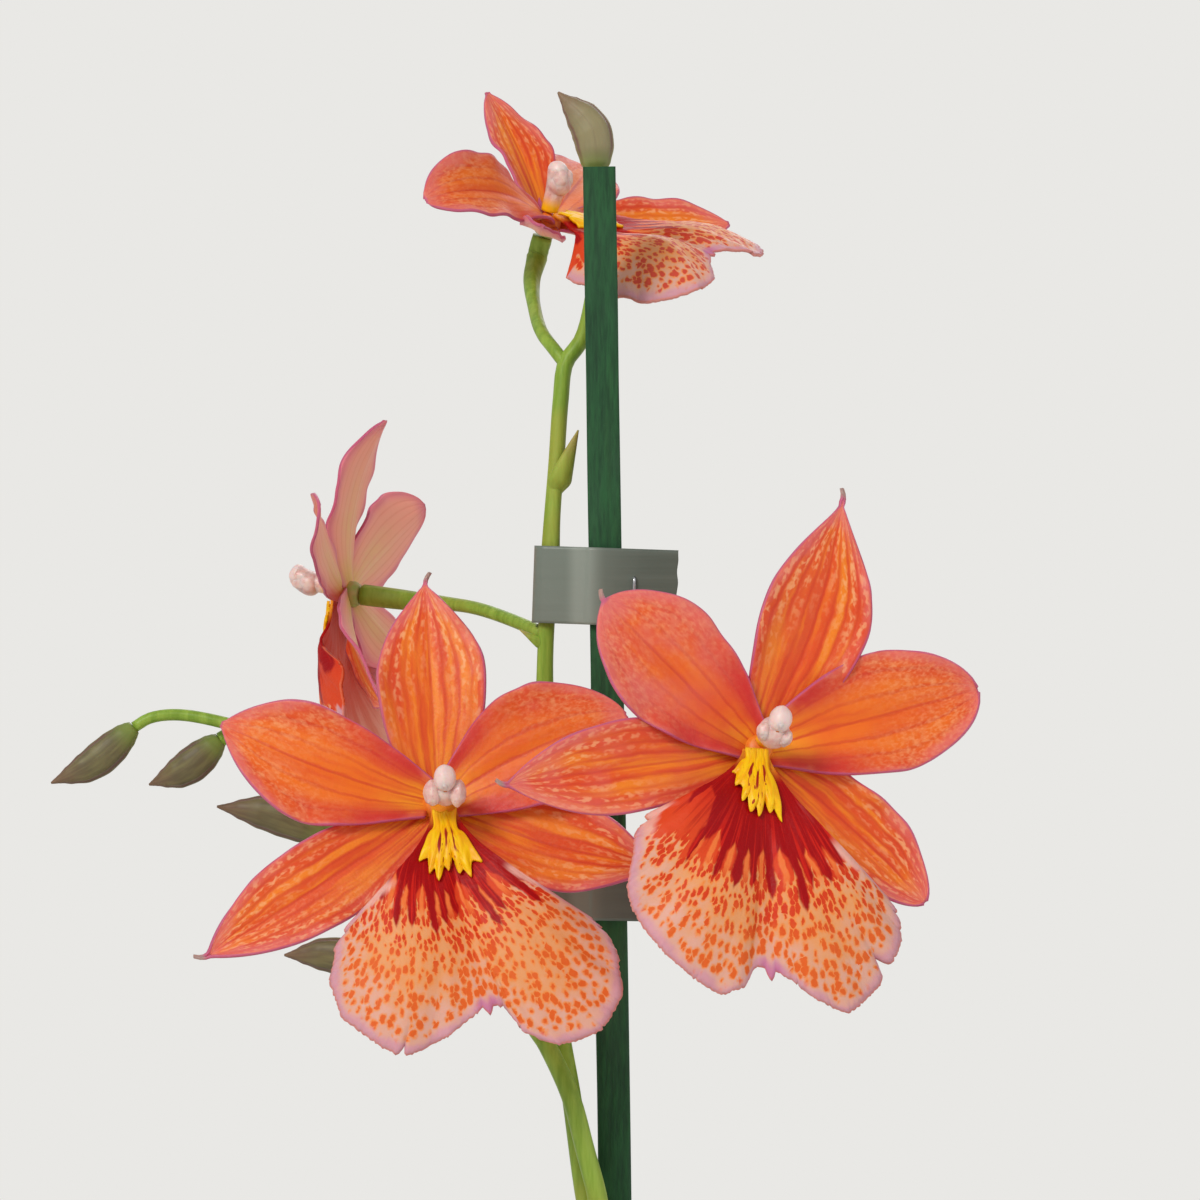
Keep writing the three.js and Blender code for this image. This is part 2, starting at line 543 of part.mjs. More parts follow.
function bloomGroup(spec, name) {
  const group = new THREE.Group();
  group.position.copy(spec.centre);
  group.quaternion.copy(bloomTurn(spec));
  const fitted = (geometry) => geometry.scale(spec.scale, spec.scale, spec.scale);
  group.add(
    piece(`${name}_tepals`, tepalsGeometry(spec), finishes.tepalOrange),
    piece(`${name}_lip`, fitted(lipGeometry(spec)), finishes.lipPeach),
    piece(`${name}_callus`, fitted(callusGeometry(spec)), finishes.callusYellow),
    piece(`${name}_column`, fitted(columnGeometry(spec)), finishes.columnPink),
  );
  return group;
}

// Stems
function pedicelTo(spec) {
  const back = hub.back * spec.scale + gap;
  const foot = bloomPoint(spec, 0, 0, -back);
  const behind = bloomPoint(spec, 0, -0.6, -back - (spec.stalk ?? stem.stalk));
  const points = [spec.from, ...(spec.via ?? []), behind, foot];
  return bodyAlong(points, round((t) => stem.pedicel + stem.pedicelTop * smoothstep(t, 0.6, 0.9)), {
    rows: 9, sides: 6, side: v3(0, 0, 1),
  });
}

function budPedicel({ from, foot, tip }) {
  const back = foot.clone().sub(tip).normalize();
  const end = foot.clone().addScaledVector(back, gap);
  const before = foot.clone().addScaledVector(back, stem.budStalk);
  const radiusAt = round(() => stem.budPedicel);
  return bodyAlong([from, before, end], radiusAt, { rows: 4, sides: 6, side: v3(0, 1, 0) });
}

function bractGeometry({ foot, tip, radius }) {
  const flat = (t) => [radius * (1 - 0.9 * t ** 1.5), radius * 0.6 * (1 - 0.85 * t)];
  return bodyAlong([foot, tip], flat, { rows: 3, sides: 6, side: v3(1, 0.3, 0) });
}

function spikeGeometry() {
  const stemRadius = (t) => {
    const base = lerp(stem.foot, stem.top, smoothstep(t, ...stem.thins));
    const nodes = [0.24, 0.44, 0.635, 0.82, 0.868];
    return base + stem.node * nodes.reduce((sum, at) => sum + swelling(t, at, stem.nodeSpread), 0);
  };
  const branchRadius = (t) => lerp(stem.branchFoot, stem.branchTop, t);
  return joined([
    bodyAlong(mainStem, round(stemRadius), { rows: 38, sides: 7, side: v3(1, 0, 0) }),
    bodyAlong(sideBranch, round(branchRadius), { rows: 18, sides: 7, side: v3(0, 1, 0) }),
    ...blooms.map(pedicelTo),
    ...buds.filter(({ from }) => from).map(budPedicel),
    ...bracts.map(bractGeometry),
  ]);
}

function budGeometry({ foot, tip, radius, belly }) {
  const along = tip.clone().sub(foot);
  const start = foot.clone().addScaledVector(along.clone().normalize(), gap);
  const middle = start.clone().addScaledVector(along, 0.5).add(belly);
  const profile = [[0, 0.42], [0.12, 0.72], [0.36, 1], [0.6, 0.88], [0.8, 0.5], [0.93, 0.2], [1, 0.1]];
  return bodyAlong([start, middle, tip], round((t) => radius * between(profile, t)), {
    rows: 9, sides: 8, side: v3(0, 1, 0),
  });
}

// Stake
const stakeAlong = stake.top.clone().sub(stake.foot).normalize();
const stakeAt = (z) => stake.foot.clone().lerp(stake.top, (z - stake.foot.z) / (stake.top.z - stake.foot.z));

function prism(outline, depth) {
  return new THREE.ExtrudeGeometry(new THREE.Shape(outline.map(([x, y]) => new THREE.Vector2(x, y))), {
    depth, bevelEnabled: false, steps: 1,
  });
}

function stakeMesh() {
  const [w, d, c] = [stake.width / 2, stake.depth / 2, stake.chamfer];
  const outline = [
    [-w + c, -d], [w - c, -d], [w, -d + c], [w, d - c], [w - c, d], [-w + c, d], [-w, d - c], [-w, -d + c],
  ];
  const mesh = piece("stake", prism(outline, stake.foot.distanceTo(stake.top)), finishes.stakeGreen);
  mesh.position.copy(stake.foot);
  mesh.quaternion.setFromUnitVectors(v3(0, 0, 1), stakeAlong);
  return mesh;
}

// A strip of even thickness along an open line, as an outline with mitred corners
function strip(line, thickness) {
  const sideOf = (a, b) => new THREE.Vector2(a[1] - b[1], b[0] - a[0]).normalize();
  const offset = (i, reach) => {
    const before = i > 0 ? sideOf(line[i - 1], line[i]) : sideOf(line[i], line[i + 1]);
    const after = i < line.length - 1 ? sideOf(line[i], line[i + 1]) : before;
    const mitre = before.clone().add(after).normalize();
    const length = reach / mitre.dot(before);
    return [line[i][0] + mitre.x * length, line[i][1] + mitre.y * length];
  };
  const half = thickness / 2;
  const left = line.map((_, i) => offset(i, half));
  const right = line.map((_, i) => offset(i, -half)).reverse();
  return [...left, ...right];
}

// Ties: a strip of tape round stem and stake, its two ends laid together and stapled
const ties = [
  {
    name: "upper", z: 479.3, stemAt: [-7.3, -2], stemRadius: 1.2, tail: 11.1, tilt: 2, staple: 4.85,
    stapleDrop: 2.1,
  },
  {
    name: "lower", z: 437.3, stemAt: [-7.4, -3], stemRadius: 1.5, tail: 9, tilt: 1, staple: 5.6,
    stapleDrop: 0,
  },
];

function tieGroup({ name, z, stemAt, stemRadius, tail, tilt, staple, stapleDrop }) {
  const centre = stakeAt(z);
  const off = tape.clearance + tape.thickness / 2;
  const right = centre.x + stake.width / 2 + off;
  const left = centre.x - stake.width / 2 - off;
  const front = centre.y - stake.depth / 2 - off;
  const back = centre.y + stake.depth / 2 + off;
  const bend = stemRadius + off;
  const layer = tape.thickness + tape.layerGap;
  const around = spread(6, 255, 95).map((angle) => [
    stemAt[0] + bend * Math.cos(rad(angle)), stemAt[1] + bend * Math.sin(rad(angle)),
  ]);
  const line = [
    [tail, front], [left + 1, front], [left + 0.2, front + 0.5], ...around,
    [right - 1.2, back], [right - 0.2, back - 0.6], [right, back - 1.6],
    [right, front + layer + 0.4], [right + 0.4, front + layer], [tail - 0.6, front + layer],
  ];
  const group = new THREE.Group();
  group.position.set(0, 0, z);
  group.rotation.y = rad(tilt);
  const band = prism(strip(line, tape.thickness), tape.height).translate(0, 0, -tape.height / 2);
  const legs = [wire.crown / 2, -wire.crown / 2].map((drop) => {
    const width = wire.size + 2 * gap;
    return new THREE.BoxGeometry(width, 6, width).translate(staple, front, drop - stapleDrop);
  });
  const crown = front - tape.thickness / 2 - gap - wire.size / 2;
  const clench = front + layer + tape.thickness / 2 + gap + wire.size / 2;
  const half = wire.crown / 2;
  const bentWire = [
    [clench, half - wire.fold], [clench, half], [crown, half], [crown, -half], [clench, -half],
    [clench, -half + wire.fold],
  ];
  const stapleShape = prism(strip(bentWire, wire.size), wire.size).translate(0, 0, -wire.size / 2);
  // The outline's X is the depth through the tape and its Y is the height.
  const toPlace = new THREE.Matrix4().makeBasis(v3(0, 1, 0), v3(0, 0, 1), v3(1, 0, 0));
  group.add(
    piece(`tie_${name}`, cut(band, legs), finishes.tapeGrey),
    piece(
      `staple_${name}`,
      stapleShape.applyMatrix4(toPlace).translate(staple, 0, -stapleDrop),
      finishes.wireSteel,
    ),
  );
  return group;
}

// Bark: a filled body with chips in relief and plain holes for what stands in it
function barkGeometry() {
  const inner = (z) => lerp(pot.baseRadius, pot.topRadius, z / pot.height) - pot.wall - gap;
  const foot = pot.floor + gap;
  const outline = [[0, foot], [inner(foot), foot], [inner(bark.top), bark.top], [0, bark.top]];
  const body = new THREE.LatheGeometry(outline.map(([x, y]) => new THREE.Vector2(x, y)), 28);
  body.rotateX(Math.PI / 2);
  const draw = seeded(7);
  const chips = spread(bark.chips - 1, 0, 1).map((share, i) => {
    const size = bark.chipLength * (0.6 + 0.6 * draw());
    const chip = new THREE.BoxGeometry(size, size * bark.chipWidth, bark.chipDepth * (1 + 0.6 * draw()));
    chip.rotateX((draw() - 0.5) * bark.chipTilt);
    chip.rotateY((draw() - 0.5) * bark.chipTilt);
    chip.rotateZ(draw() * Math.PI);
    const reach = bark.reach * Math.sqrt(share);
    const angle = i * bark.turn;
    return chip.translate(reach * Math.cos(angle), reach * Math.sin(angle), bark.top);
  });
  const cutters = [];
  for (const spec of bulbs) {
    const [atX, atY] = spec.at;
    const turned = (radii, from, to) => {
      const hole = new THREE.CylinderGeometry(1, 1, to - from, 18);
      hole.rotateX(Math.PI / 2);
      hole.scale(radii[0] + gap + bark.holeRoom, radii[1] + gap + bark.holeRoom, 1);
      return hole.rotateZ(rad(spec.turn)).translate(atX, atY, (from + to) / 2);
    };
    const soilShare = bark.holeDepth / (bulbTop(spec) - bulbFoot);
    cutters.push(turned(bulbRadius(spec, soilShare), bulbFoot - gap, bark.top + 2));
    cutters.push(turned(bulbRadius(spec, bulb.widest), bark.top + 0.5, bark.top + 2 * bark.reliefTop));
  }
  const well = (at, radius, from) => {
    const to = bark.top + bark.overTop;
    const hole = new THREE.CylinderGeometry(radius, radius, to - from, 12);
    hole.rotateX(Math.PI / 2);
    cutters.push(hole.translate(at.x, at.y, (to + from) / 2));
  };
  well(stemFoot, stem.foot + bark.wellRoom, stemFoot.z - gap);
  well(stakeAt((stake.foot.z + bark.top) / 2), stake.width * 0.72 + bark.wellRoom, stake.foot.z - gap);
  for (const spec of leaves.filter(({ foot: where }) => where === "soil")) {
    const at = leafFoot(spec);
    const out = v3(Math.cos(rad(spec.heading)), Math.sin(rad(spec.heading)), 0);
    well(at.clone().addScaledVector(out, 0.4), bark.leafWell, at.z - gap);
  }
  return cut(joined([body, ...chips]), cutters);
}

// Assembly
const plant = new THREE.Group();
plant.add(
  piece("pot", potGeometry(), finishes.potPlastic),
  piece("bark_mix", barkGeometry(), finishes.bark),
  ...bulbs.map((spec, i) => piece(`pseudobulb_${i + 1}`, bulbGeometry(spec), finishes.bulbGreen)),
  ...leaves.map((spec, i) => piece(`leaf_${i + 1}`, leafGeometry(spec), finishes.leafGreen)),
  piece("spike", spikeGeometry(), finishes.stemGreen),
  ...buds.map((spec, i) => piece(`bud_${i + 1}`, budGeometry(spec), finishes.budOlive)),
  ...blooms.map((spec, i) => bloomGroup(spec, `bloom_${i + 1}`)),
  stakeMesh(),
  ...ties.map(tieGroup),
);

export default plant;
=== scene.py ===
import math
import random

import bmesh
import bpy
from mathutils import Matrix, Vector, noise


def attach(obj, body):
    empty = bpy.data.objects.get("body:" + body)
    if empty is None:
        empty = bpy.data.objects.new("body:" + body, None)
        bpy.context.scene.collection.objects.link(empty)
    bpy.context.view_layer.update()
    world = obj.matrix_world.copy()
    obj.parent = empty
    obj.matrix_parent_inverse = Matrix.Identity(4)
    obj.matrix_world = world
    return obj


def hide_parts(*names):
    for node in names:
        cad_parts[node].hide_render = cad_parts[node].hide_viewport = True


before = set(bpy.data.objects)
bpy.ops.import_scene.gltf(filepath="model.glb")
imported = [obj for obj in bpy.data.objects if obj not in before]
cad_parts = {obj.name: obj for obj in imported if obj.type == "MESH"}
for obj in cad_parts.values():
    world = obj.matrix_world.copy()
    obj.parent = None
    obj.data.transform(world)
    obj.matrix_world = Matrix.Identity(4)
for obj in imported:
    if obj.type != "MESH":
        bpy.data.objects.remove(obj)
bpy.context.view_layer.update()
print("frame loaded with", len(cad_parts), "nodes")

mm = 0.001


# Small sums

def blend(a, b, share):
    return a + (b - a) * share


def limited(value, low=0.0, high=1.0):
    return max(low, min(high, value))


def eased(value, low, high):
    share = limited((value - low) / (high - low))
    return share * share * (3 - 2 * share)


def swelling(value, place, spread):
    return math.exp(-(((value - place) / spread) ** 2))


def wobble(x, y, z):
    # smooth noise from -1 to 1
    return noise.noise(Vector((x, y, z)))


def fromTable(pairs, place):
    # pairs run upwards; half eased and half straight between them
    if place <= pairs[0][0]:
        return pairs[0][1]
    for (a, low), (b, high) in zip(pairs, pairs[1:]):
        if place <= b:
            share = (place - a) / (b - a)
            return blend(low, high, 0.5 * eased(share, 0, 1) + 0.5 * share)
    return pairs[-1][1]


def paint(red, green, blue):
    # a colour as a picture shows it, made linear
    def one(level):
        level /= 255
        return level / 12.92 if level <= 0.04045 else ((level + 0.055) / 1.055) ** 2.4
    return (one(red), one(green), one(blue), 1)


def pathThrough(points, fine=20):
    # a smooth line through points: gives the place and the direction at a share of its length
    points = [Vector(p) for p in points]
    ends = [points[0] * 2 - points[1], *points, points[-1] * 2 - points[-2]]
    line = []
    for p0, p1, p2, p3 in zip(ends, ends[1:], ends[2:], ends[3:]):
        d0, d1, d2 = [max((b - a).length ** 0.5, 1e-4) for a, b in ((p0, p1), (p1, p2), (p2, p3))]
        out = ((p1 - p0) / d0 - (p2 - p0) / (d0 + d1) + (p2 - p1) / d1) * d1
        into = ((p2 - p1) / d1 - (p3 - p1) / (d1 + d2) + (p3 - p2) / d2) * d1
        for step in range(fine):
            t = step / fine
            line.append(
                p1 * (2 * t**3 - 3 * t**2 + 1) + out * (t**3 - 2 * t**2 + t)
                + p2 * (3 * t**2 - 2 * t**3) + into * (t**3 - t**2)
            )
    line.append(points[-1])
    reach = [0]
    for a, b in zip(line, line[1:]):
        reach.append(reach[-1] + (b - a).length)

    def at(share):
        goal = limited(share) * reach[-1]
        low, high = 0, len(line) - 1
        while high - low > 1:
            middle = (low + high) // 2
            low, high = (middle, high) if reach[middle] <= goal else (low, middle)
        part = (goal - reach[low]) / max(reach[high] - reach[low], 1e-9)
        before, after = max(low - 1, 0), min(high + 1, len(line) - 1)
        return line[low].lerp(line[high], part), (line[after] - line[before]).normalized()

    return at


# Mesh blanks and finishing

def blank(*names):
    # an empty mesh, with a vector layer on its vertices for each name
    bm = bmesh.new()
    return [bm, *[bm.verts.layers.float_vector.new(name) for name in names]]


def edgesOf(verts):
    # each edge once, in the same order every run
    return list(dict.fromkeys(edge for vert in verts for edge in vert.link_edges))


def uprights(edges):
    return [edge for edge in edges if abs(edge.verts[0].co.z - edge.verts[1].co.z) > 0.5]


def freshVerts(bm):
    # the vertices made since the last call, told apart by a layer that finishPiece removes
    placed = bm.verts.layers.int.get("placed") or bm.verts.layers.int.new("placed")
    fresh = [vert for vert in bm.verts if not vert[placed]]
    for vert in fresh:
        vert[placed] = 1
    return fresh


def rod(bm, path, radiusAt, rows, sides, side=(1, 0, 0), mark=None):
    # a closed rod whose rings follow a path; radiusAt gives its radius, or two, one each way
    made = bmesh.ops.create_cone(bm, cap_ends=True, segments=sides, radius1=1, radius2=1, depth=1)
    bmesh.ops.subdivide_edges(bm, edges=uprights(edgesOf(made["verts"])), cuts=rows - 1)
    side = Vector(side)
    fresh = freshVerts(bm)
    for vert in fresh:
        share, angle = limited(vert.co.z + 0.5), math.atan2(vert.co.y, vert.co.x)
        centre, along = path(share)
        first = (side - along * side.dot(along)).normalized()
        second = along.cross(first)
        radius = radiusAt(share, angle)
        wide, deep = radius if isinstance(radius, tuple) else (radius, radius)
        if mark:
            mark(vert, share, angle)
        vert.co = centre + first * (math.cos(angle) * wide) + second * (math.sin(angle) * deep)
    return fresh


def marker(layer, tone):
    # a mark for rod: the share of the length, the angle, and a tone that may follow the share
    def mark(vert, share, angle):
        vert[layer] = (share, angle, tone(share) if callable(tone) else tone)
    return mark


def sheet(bm, columns, rows, place, slot=0):
    # a grid moved into shape: place(vert, across from -1 to 1, along from 0 to 1) gives each point
    bmesh.ops.create_grid(bm, x_segments=columns, y_segments=rows, size=1)
    for vert in freshVerts(bm):
        vert.co = place(vert, vert.co.x, (vert.co.y + 1) / 2)
        for face in vert.link_faces:
            face.material_index = slot


def inScene(name, data):
    made = bpy.data.objects.new(name, data)
    bpy.context.scene.collection.objects.link(made)
    return made


def finishPiece(bm, name, nodes, coats, thickness=0, sharp=None):
    # coats names the materials, those of the back after those of the front
    bmesh.ops.scale(bm, vec=(mm, mm, mm), verts=bm.verts)
    placed = bm.verts.layers.int.get("placed")
    if placed:
        bm.verts.layers.int.remove(placed)
    mesh = bpy.data.meshes.new(name)
    bm.to_mesh(mesh)
    bm.free()
    mesh.shade_smooth()
    if sharp:
        mesh.set_sharp_from_angle(angle=math.radians(sharp))
    for coat in coats:
        mesh.materials.append(finishes[coat])
    piece = inScene(name, mesh)
    if thickness:
        wall = piece.modifiers.new("thickness", "SOLIDIFY")
        wall.thickness = thickness * mm
        wall.offset = 0
        wall.material_offset = len(coats) // 2
        wall.use_rim = True
    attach(piece, "root")
    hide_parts(*nodes)
    return piece


# Materials are built from a few kinds of node. A strand is one node's output, and sums with it make
# further nodes.

class Strand:
    def __init__(self, finish, socket):
        self.finish, self.socket = finish, socket

    def __abs__(self):
        return self.finish.sum("ABSOLUTE", self)

    def __add__(self, other):
        return self.finish.sum("ADD", self, other)

    def __radd__(self, other):
        return self.finish.sum("ADD", other, self)

    def __sub__(self, other):
        return self.finish.sum("SUBTRACT", self, other)

    def __rsub__(self, other):
        return self.finish.sum("SUBTRACT", other, self)

    def __mul__(self, other):
        return self.finish.sum("MULTIPLY", self, other)


class Finish:
    def __init__(self, name, roughness, shine=0.5, glow=(0, 0.05), **fixed):
        # glow: how much light goes under the skin, and how far in metres
        self.material = bpy.data.materials.new(name)
        self.material.use_nodes = True
        self.tree = self.material.node_tree
        self.shader = self.tree.nodes["Principled BSDF"]
        fixed.update(Roughness=roughness, Specular_IOR_Level=shine)
        fixed["Subsurface_Weight"], fixed["Subsurface_Scale"] = glow
        for socket, value in fixed.items():
            self.shader.inputs[socket.replace("_", " ")].default_value = value

    def add(self, kind, inputs, output=0, **settings):
        made = self.tree.nodes.new("ShaderNode" + kind)
        for key, value in settings.items():
            setattr(made, key, value)
        for key, value in inputs.items():
            self.feed(made.inputs[key], value)
        return Strand(self, made.outputs[output])

    def feed(self, socket, value):
        if isinstance(value, Strand):
            self.tree.links.new(value.socket, socket)
        else:
            socket.default_value = value

    def sum(self, operation, a, b=0.0):
        return self.add("Math", {0: a, 1: b}, operation=operation)

    def stepped(self, share):
        # a share may be given as the terms of its step
        return self.step(*share) if isinstance(share, tuple) else share

    def mix(self, share, *tones):
        # a tone is a colour as a picture shows it, or a strand
        a, b = [paint(*tone) if isinstance(tone, tuple) else tone for tone in tones]
        return self.add("Mix", {0: self.stepped(share), 6: a, 7: b}, 2, data_type="RGBA")

    def ground(self, share, a, b):
        self.body = self.mix(share, a, b)
        self.feed(self.shader.inputs["Base Color"], self.body)

    def over(self, share, tone):
        self.ground(share, self.body, tone)

    def step(self, value, low, high, bottom=0.0, top=1.0):
        inputs = {"Value": value, "From Min": low, "From Max": high, "To Min": bottom, "To Max": top}
        return self.add("MapRange", inputs, interpolation_type="SMOOTHSTEP")

    def split(self, source):
        # the three parts of a vector, or of the attribute of this name
        if isinstance(source, str):
            source = self.add("Attribute", {}, 1, attribute_name=source)
        first = self.add("SeparateXYZ", {0: source})
        return [Strand(self, part) for part in first.socket.node.outputs]

    def join(self, x, y, z=0.0):
        return self.add("CombineXYZ", {0: x, 1: y, 2: z})

    def onObject(self, scale=(1000, 1000, 1000)):
        # the place on the object, in millimetres unless a scale stretches it
        return self.add("Mapping", {0: self.add("TexCoord", {}, 3), 3: scale})

    def noise(self, vector, scale, detail=2.0, rough=0.5, output=0):
        vector = self.join(*vector) if isinstance(vector, tuple) else vector
        inputs = {"Vector": vector, "Scale": scale, "Detail": detail, "Roughness": rough}
        return self.add("TexNoise", inputs, output)

    def cells(self, vector, output=0):
        # cells of about 1 across on a plane
        inputs = {"Vector": vector, "Scale": 1.0}
        return self.add("TexVoronoi", inputs, output, voronoi_dimensions="2D")

    def lanes(self, value, feature="F1", output=0):
        # stretches of about 1 along a line
        inputs = {"W": value, "Scale": 1.0}
        return self.add("TexVoronoi", inputs, output, voronoi_dimensions="1D", feature=feature)

    def rough(self, share):
        self.feed(self.shader.inputs["Roughness"], self.stepped(share))

    def relief(self, height, strength=0.5, distance=0.0003):
        bump = self.add("Bump", {"Strength": strength, "Distance": distance, "Height": height})
        self.feed(self.shader.inputs["Normal"], bump)


# Petal and sepal tissue. "place" holds across, along and a seed; "size" holds the millimetres
# across, the millimetres along and the distance to the margin; "tone" holds the blush and the hook.

tissue = {
    "orange": (234, 110, 22), "deepOrange": (222, 80, 30), "gold": (246, 156, 32), "red": (202, 40, 42),
    "vein": (204, 58, 26), "band": (218, 70, 30), "pink": (222, 116, 116), "magenta": (186, 88, 138),
    "cream": (246, 184, 128), "hook": (178, 142, 134), "veinsPetal": 6, "veinsSepal": 8,
}


def tissueFinish(kind):
    c = tissue
    made = Finish(kind + " tissue", 0.5, 0.28, (0.12, 0.0012), Sheen_Weight=0.04, Sheen_Roughness=0.4)
    step = made.step
    across, along, seed = made.split("place")
    wide, deep, margin = made.split("size")
    blush, hooked, _ = made.split("tone")
    place = made.join(wide, deep, seed)
    drift = made.noise(place, 0.16, 3.0)
    fine = made.noise((wide, deep * 0.45, seed), 1.3, 4.0, 0.6)
    aside = abs(across)

    # ground: gold at the foot, orange in the middle and deeper towards the sides and the tip
    made.ground((along, 0.02, 0.3), c["gold"], c["orange"])
    deeper = step(aside, 0.25, 0.95, 0, 0.55) + step(along, 0.35, 0.95, 0, 0.45)
    deeper += (drift - 0.5) * 1.9
    deeper += blush * 0.7
    made.over((deeper, 0.1, 1.1), c["deepOrange"])

    # veins: long soft bands, thin lines that wander, and pale flecks between them
    count = c["veinsSepal"] if kind == "sepal" else c["veinsPetal"]
    wander = across + (fine - 0.5) * 0.05
    wander += (drift - 0.5) * 0.2
    wave = abs(made.sum("SINE", wander * (count * math.pi / 2)))
    bands = made.noise((wander * 3.6, deep * 0.05, seed), 1.0, 3.0, 0.55)
    line = step(wave, 0.8, 0.0)
    outer = step(along * 0.9 + aside * 0.55, 0.4, 1.05)
    # pale flecks: soft chains between the lines, fewer towards the foot
    rows, longer = (count * 1.5, 0.95) if kind == "sepal" else (count * 1.8, 0.8)
    dash = made.noise((wander * rows, deep * longer, seed * 3.7), 1.0, 1.0)
    dash = step(dash + (fine - 0.5) * 0.16, 0.42, 0.66) * outer
    if kind == "sepal":
        made.over((bands, 0.62, 0.4, 0, 0.35), c["gold"])
        made.over((bands, 0.38, 0.6, 0, 0.8), c["band"])
        made.over(line * step(bands, 0.3, 0.6, 0.2, 0.6), c["vein"])
        made.over(dash * step(wave, 0.3, 0.95) * 0.66, c["cream"])
    else:
        made.over((bands, 0.42, 0.66, 0, 0.6), c["band"])
        made.over(step(line, 0.4, 1.0) * step(bands, 0.2, 0.6, 0.2, 0.6), c["vein"])
        made.over(dash * 0.2, c["cream"])
        speckle = made.noise((wide, deep * 0.6, seed), 2.4, 1.0)
        made.over(step(speckle, 0.4, 0.75) * (outer * 0.32), c["cream"])
    made.over(step(abs(wide), 0.32, 0.05) * step(along, 0.98, 0.6, 0, 0.5), c["vein"])

    # red flanks near the foot, then the pink margin and its thin rim
    flank = step(aside, 0.3, 0.85) * step(along, 0.6, 0.2)
    flank *= step(drift, 0.3, 0.5, 0.4, 1.0)
    made.over(flank * (0.9 if kind == "petal" else 0.25), c["red"])
    edge = margin + (fine - 0.5) * 1.8 + step(along, 0.92, 0.2, -0.8, 0.8)
    edge += (drift - 0.5) * 4.0
    made.over((edge, 1.9, -0.4, 0, 0.6), c["pink"])
    tinge = step(blush + (drift - 0.5) * 2.0, 0.3, 1.2) * step(along, 0.2, 0.6)
    made.over(tinge * 0.5, c["pink"])
    made.over((margin, 0.26, 0.04, 0, 0.65), c["magenta"])
    made.over((hooked, 0.1, 0.9), c["hook"])
    made.relief(line * -0.3 + (bands * 0.3 + made.noise(place, 2.2, 2.0)), 0.3, 0.0002)
    made.rough((fine, 0.3, 0.75, 0.4, 0.56))
    return made.material


def tissueBackFinish():
    salmon = (248, 166, 144)
    made = Finish("petal back", 0.55, 0.3, (0.12, 0.0012))
    across, along, seed = made.split("place")
    wide, deep, margin = made.split("size")
    place = made.join(wide, deep * 0.4, seed)
    grain = made.noise(place, 0.9, 4.0, 0.6)
    middle = made.step(abs(across), 0.75, 0.1)
    made.ground(middle * made.step(along, 0.9, 0.3), salmon, (240, 188, 138))
    wave = abs(made.sum("SINE", across * (4.5 * math.pi)))
    made.over((wave, 0.6, 0.0, 0, 0.32), (224, 122, 102))
    made.over((grain, 0.35, 0.7, 0, 0.4), salmon)
    made.over((along, 0.22, 0.0, 0, 0.8), (232, 184, 96))
    made.over((margin, 1.9, 0.1, 0, 0.75), (222, 116, 140))
    made.relief(wave * 0.4 + grain, 0.35, 0.0002)
    return made.material


# Lip tissue. "fan" holds the turn about the claw in millimetres at turnAt from it, the distance from
# the claw and the distance to the rim; "flat" holds the place on the flat lip and a seed.

lipPaint = {
    "ground": (228, 154, 100), "pale": (222, 166, 146), "halo": (236, 136, 58), "spot": (210, 56, 22),
    "spotOuter": (224, 98, 36), "spotYoung": (208, 76, 56), "rim": (208, 148, 164), "crimson": (158, 0, 6),
    "redder": (204, 30, 16), "fan": (208, 44, 20), "side": (218, 70, 30), "lane": (234, 118, 56),
    "ear": (232, 172, 158), "tooth": (228, 130, 92), "tip": (196, 116, 156), "gold": (240, 158, 40),
    "turnAt": 18, "laneWidth": 2.4,
}


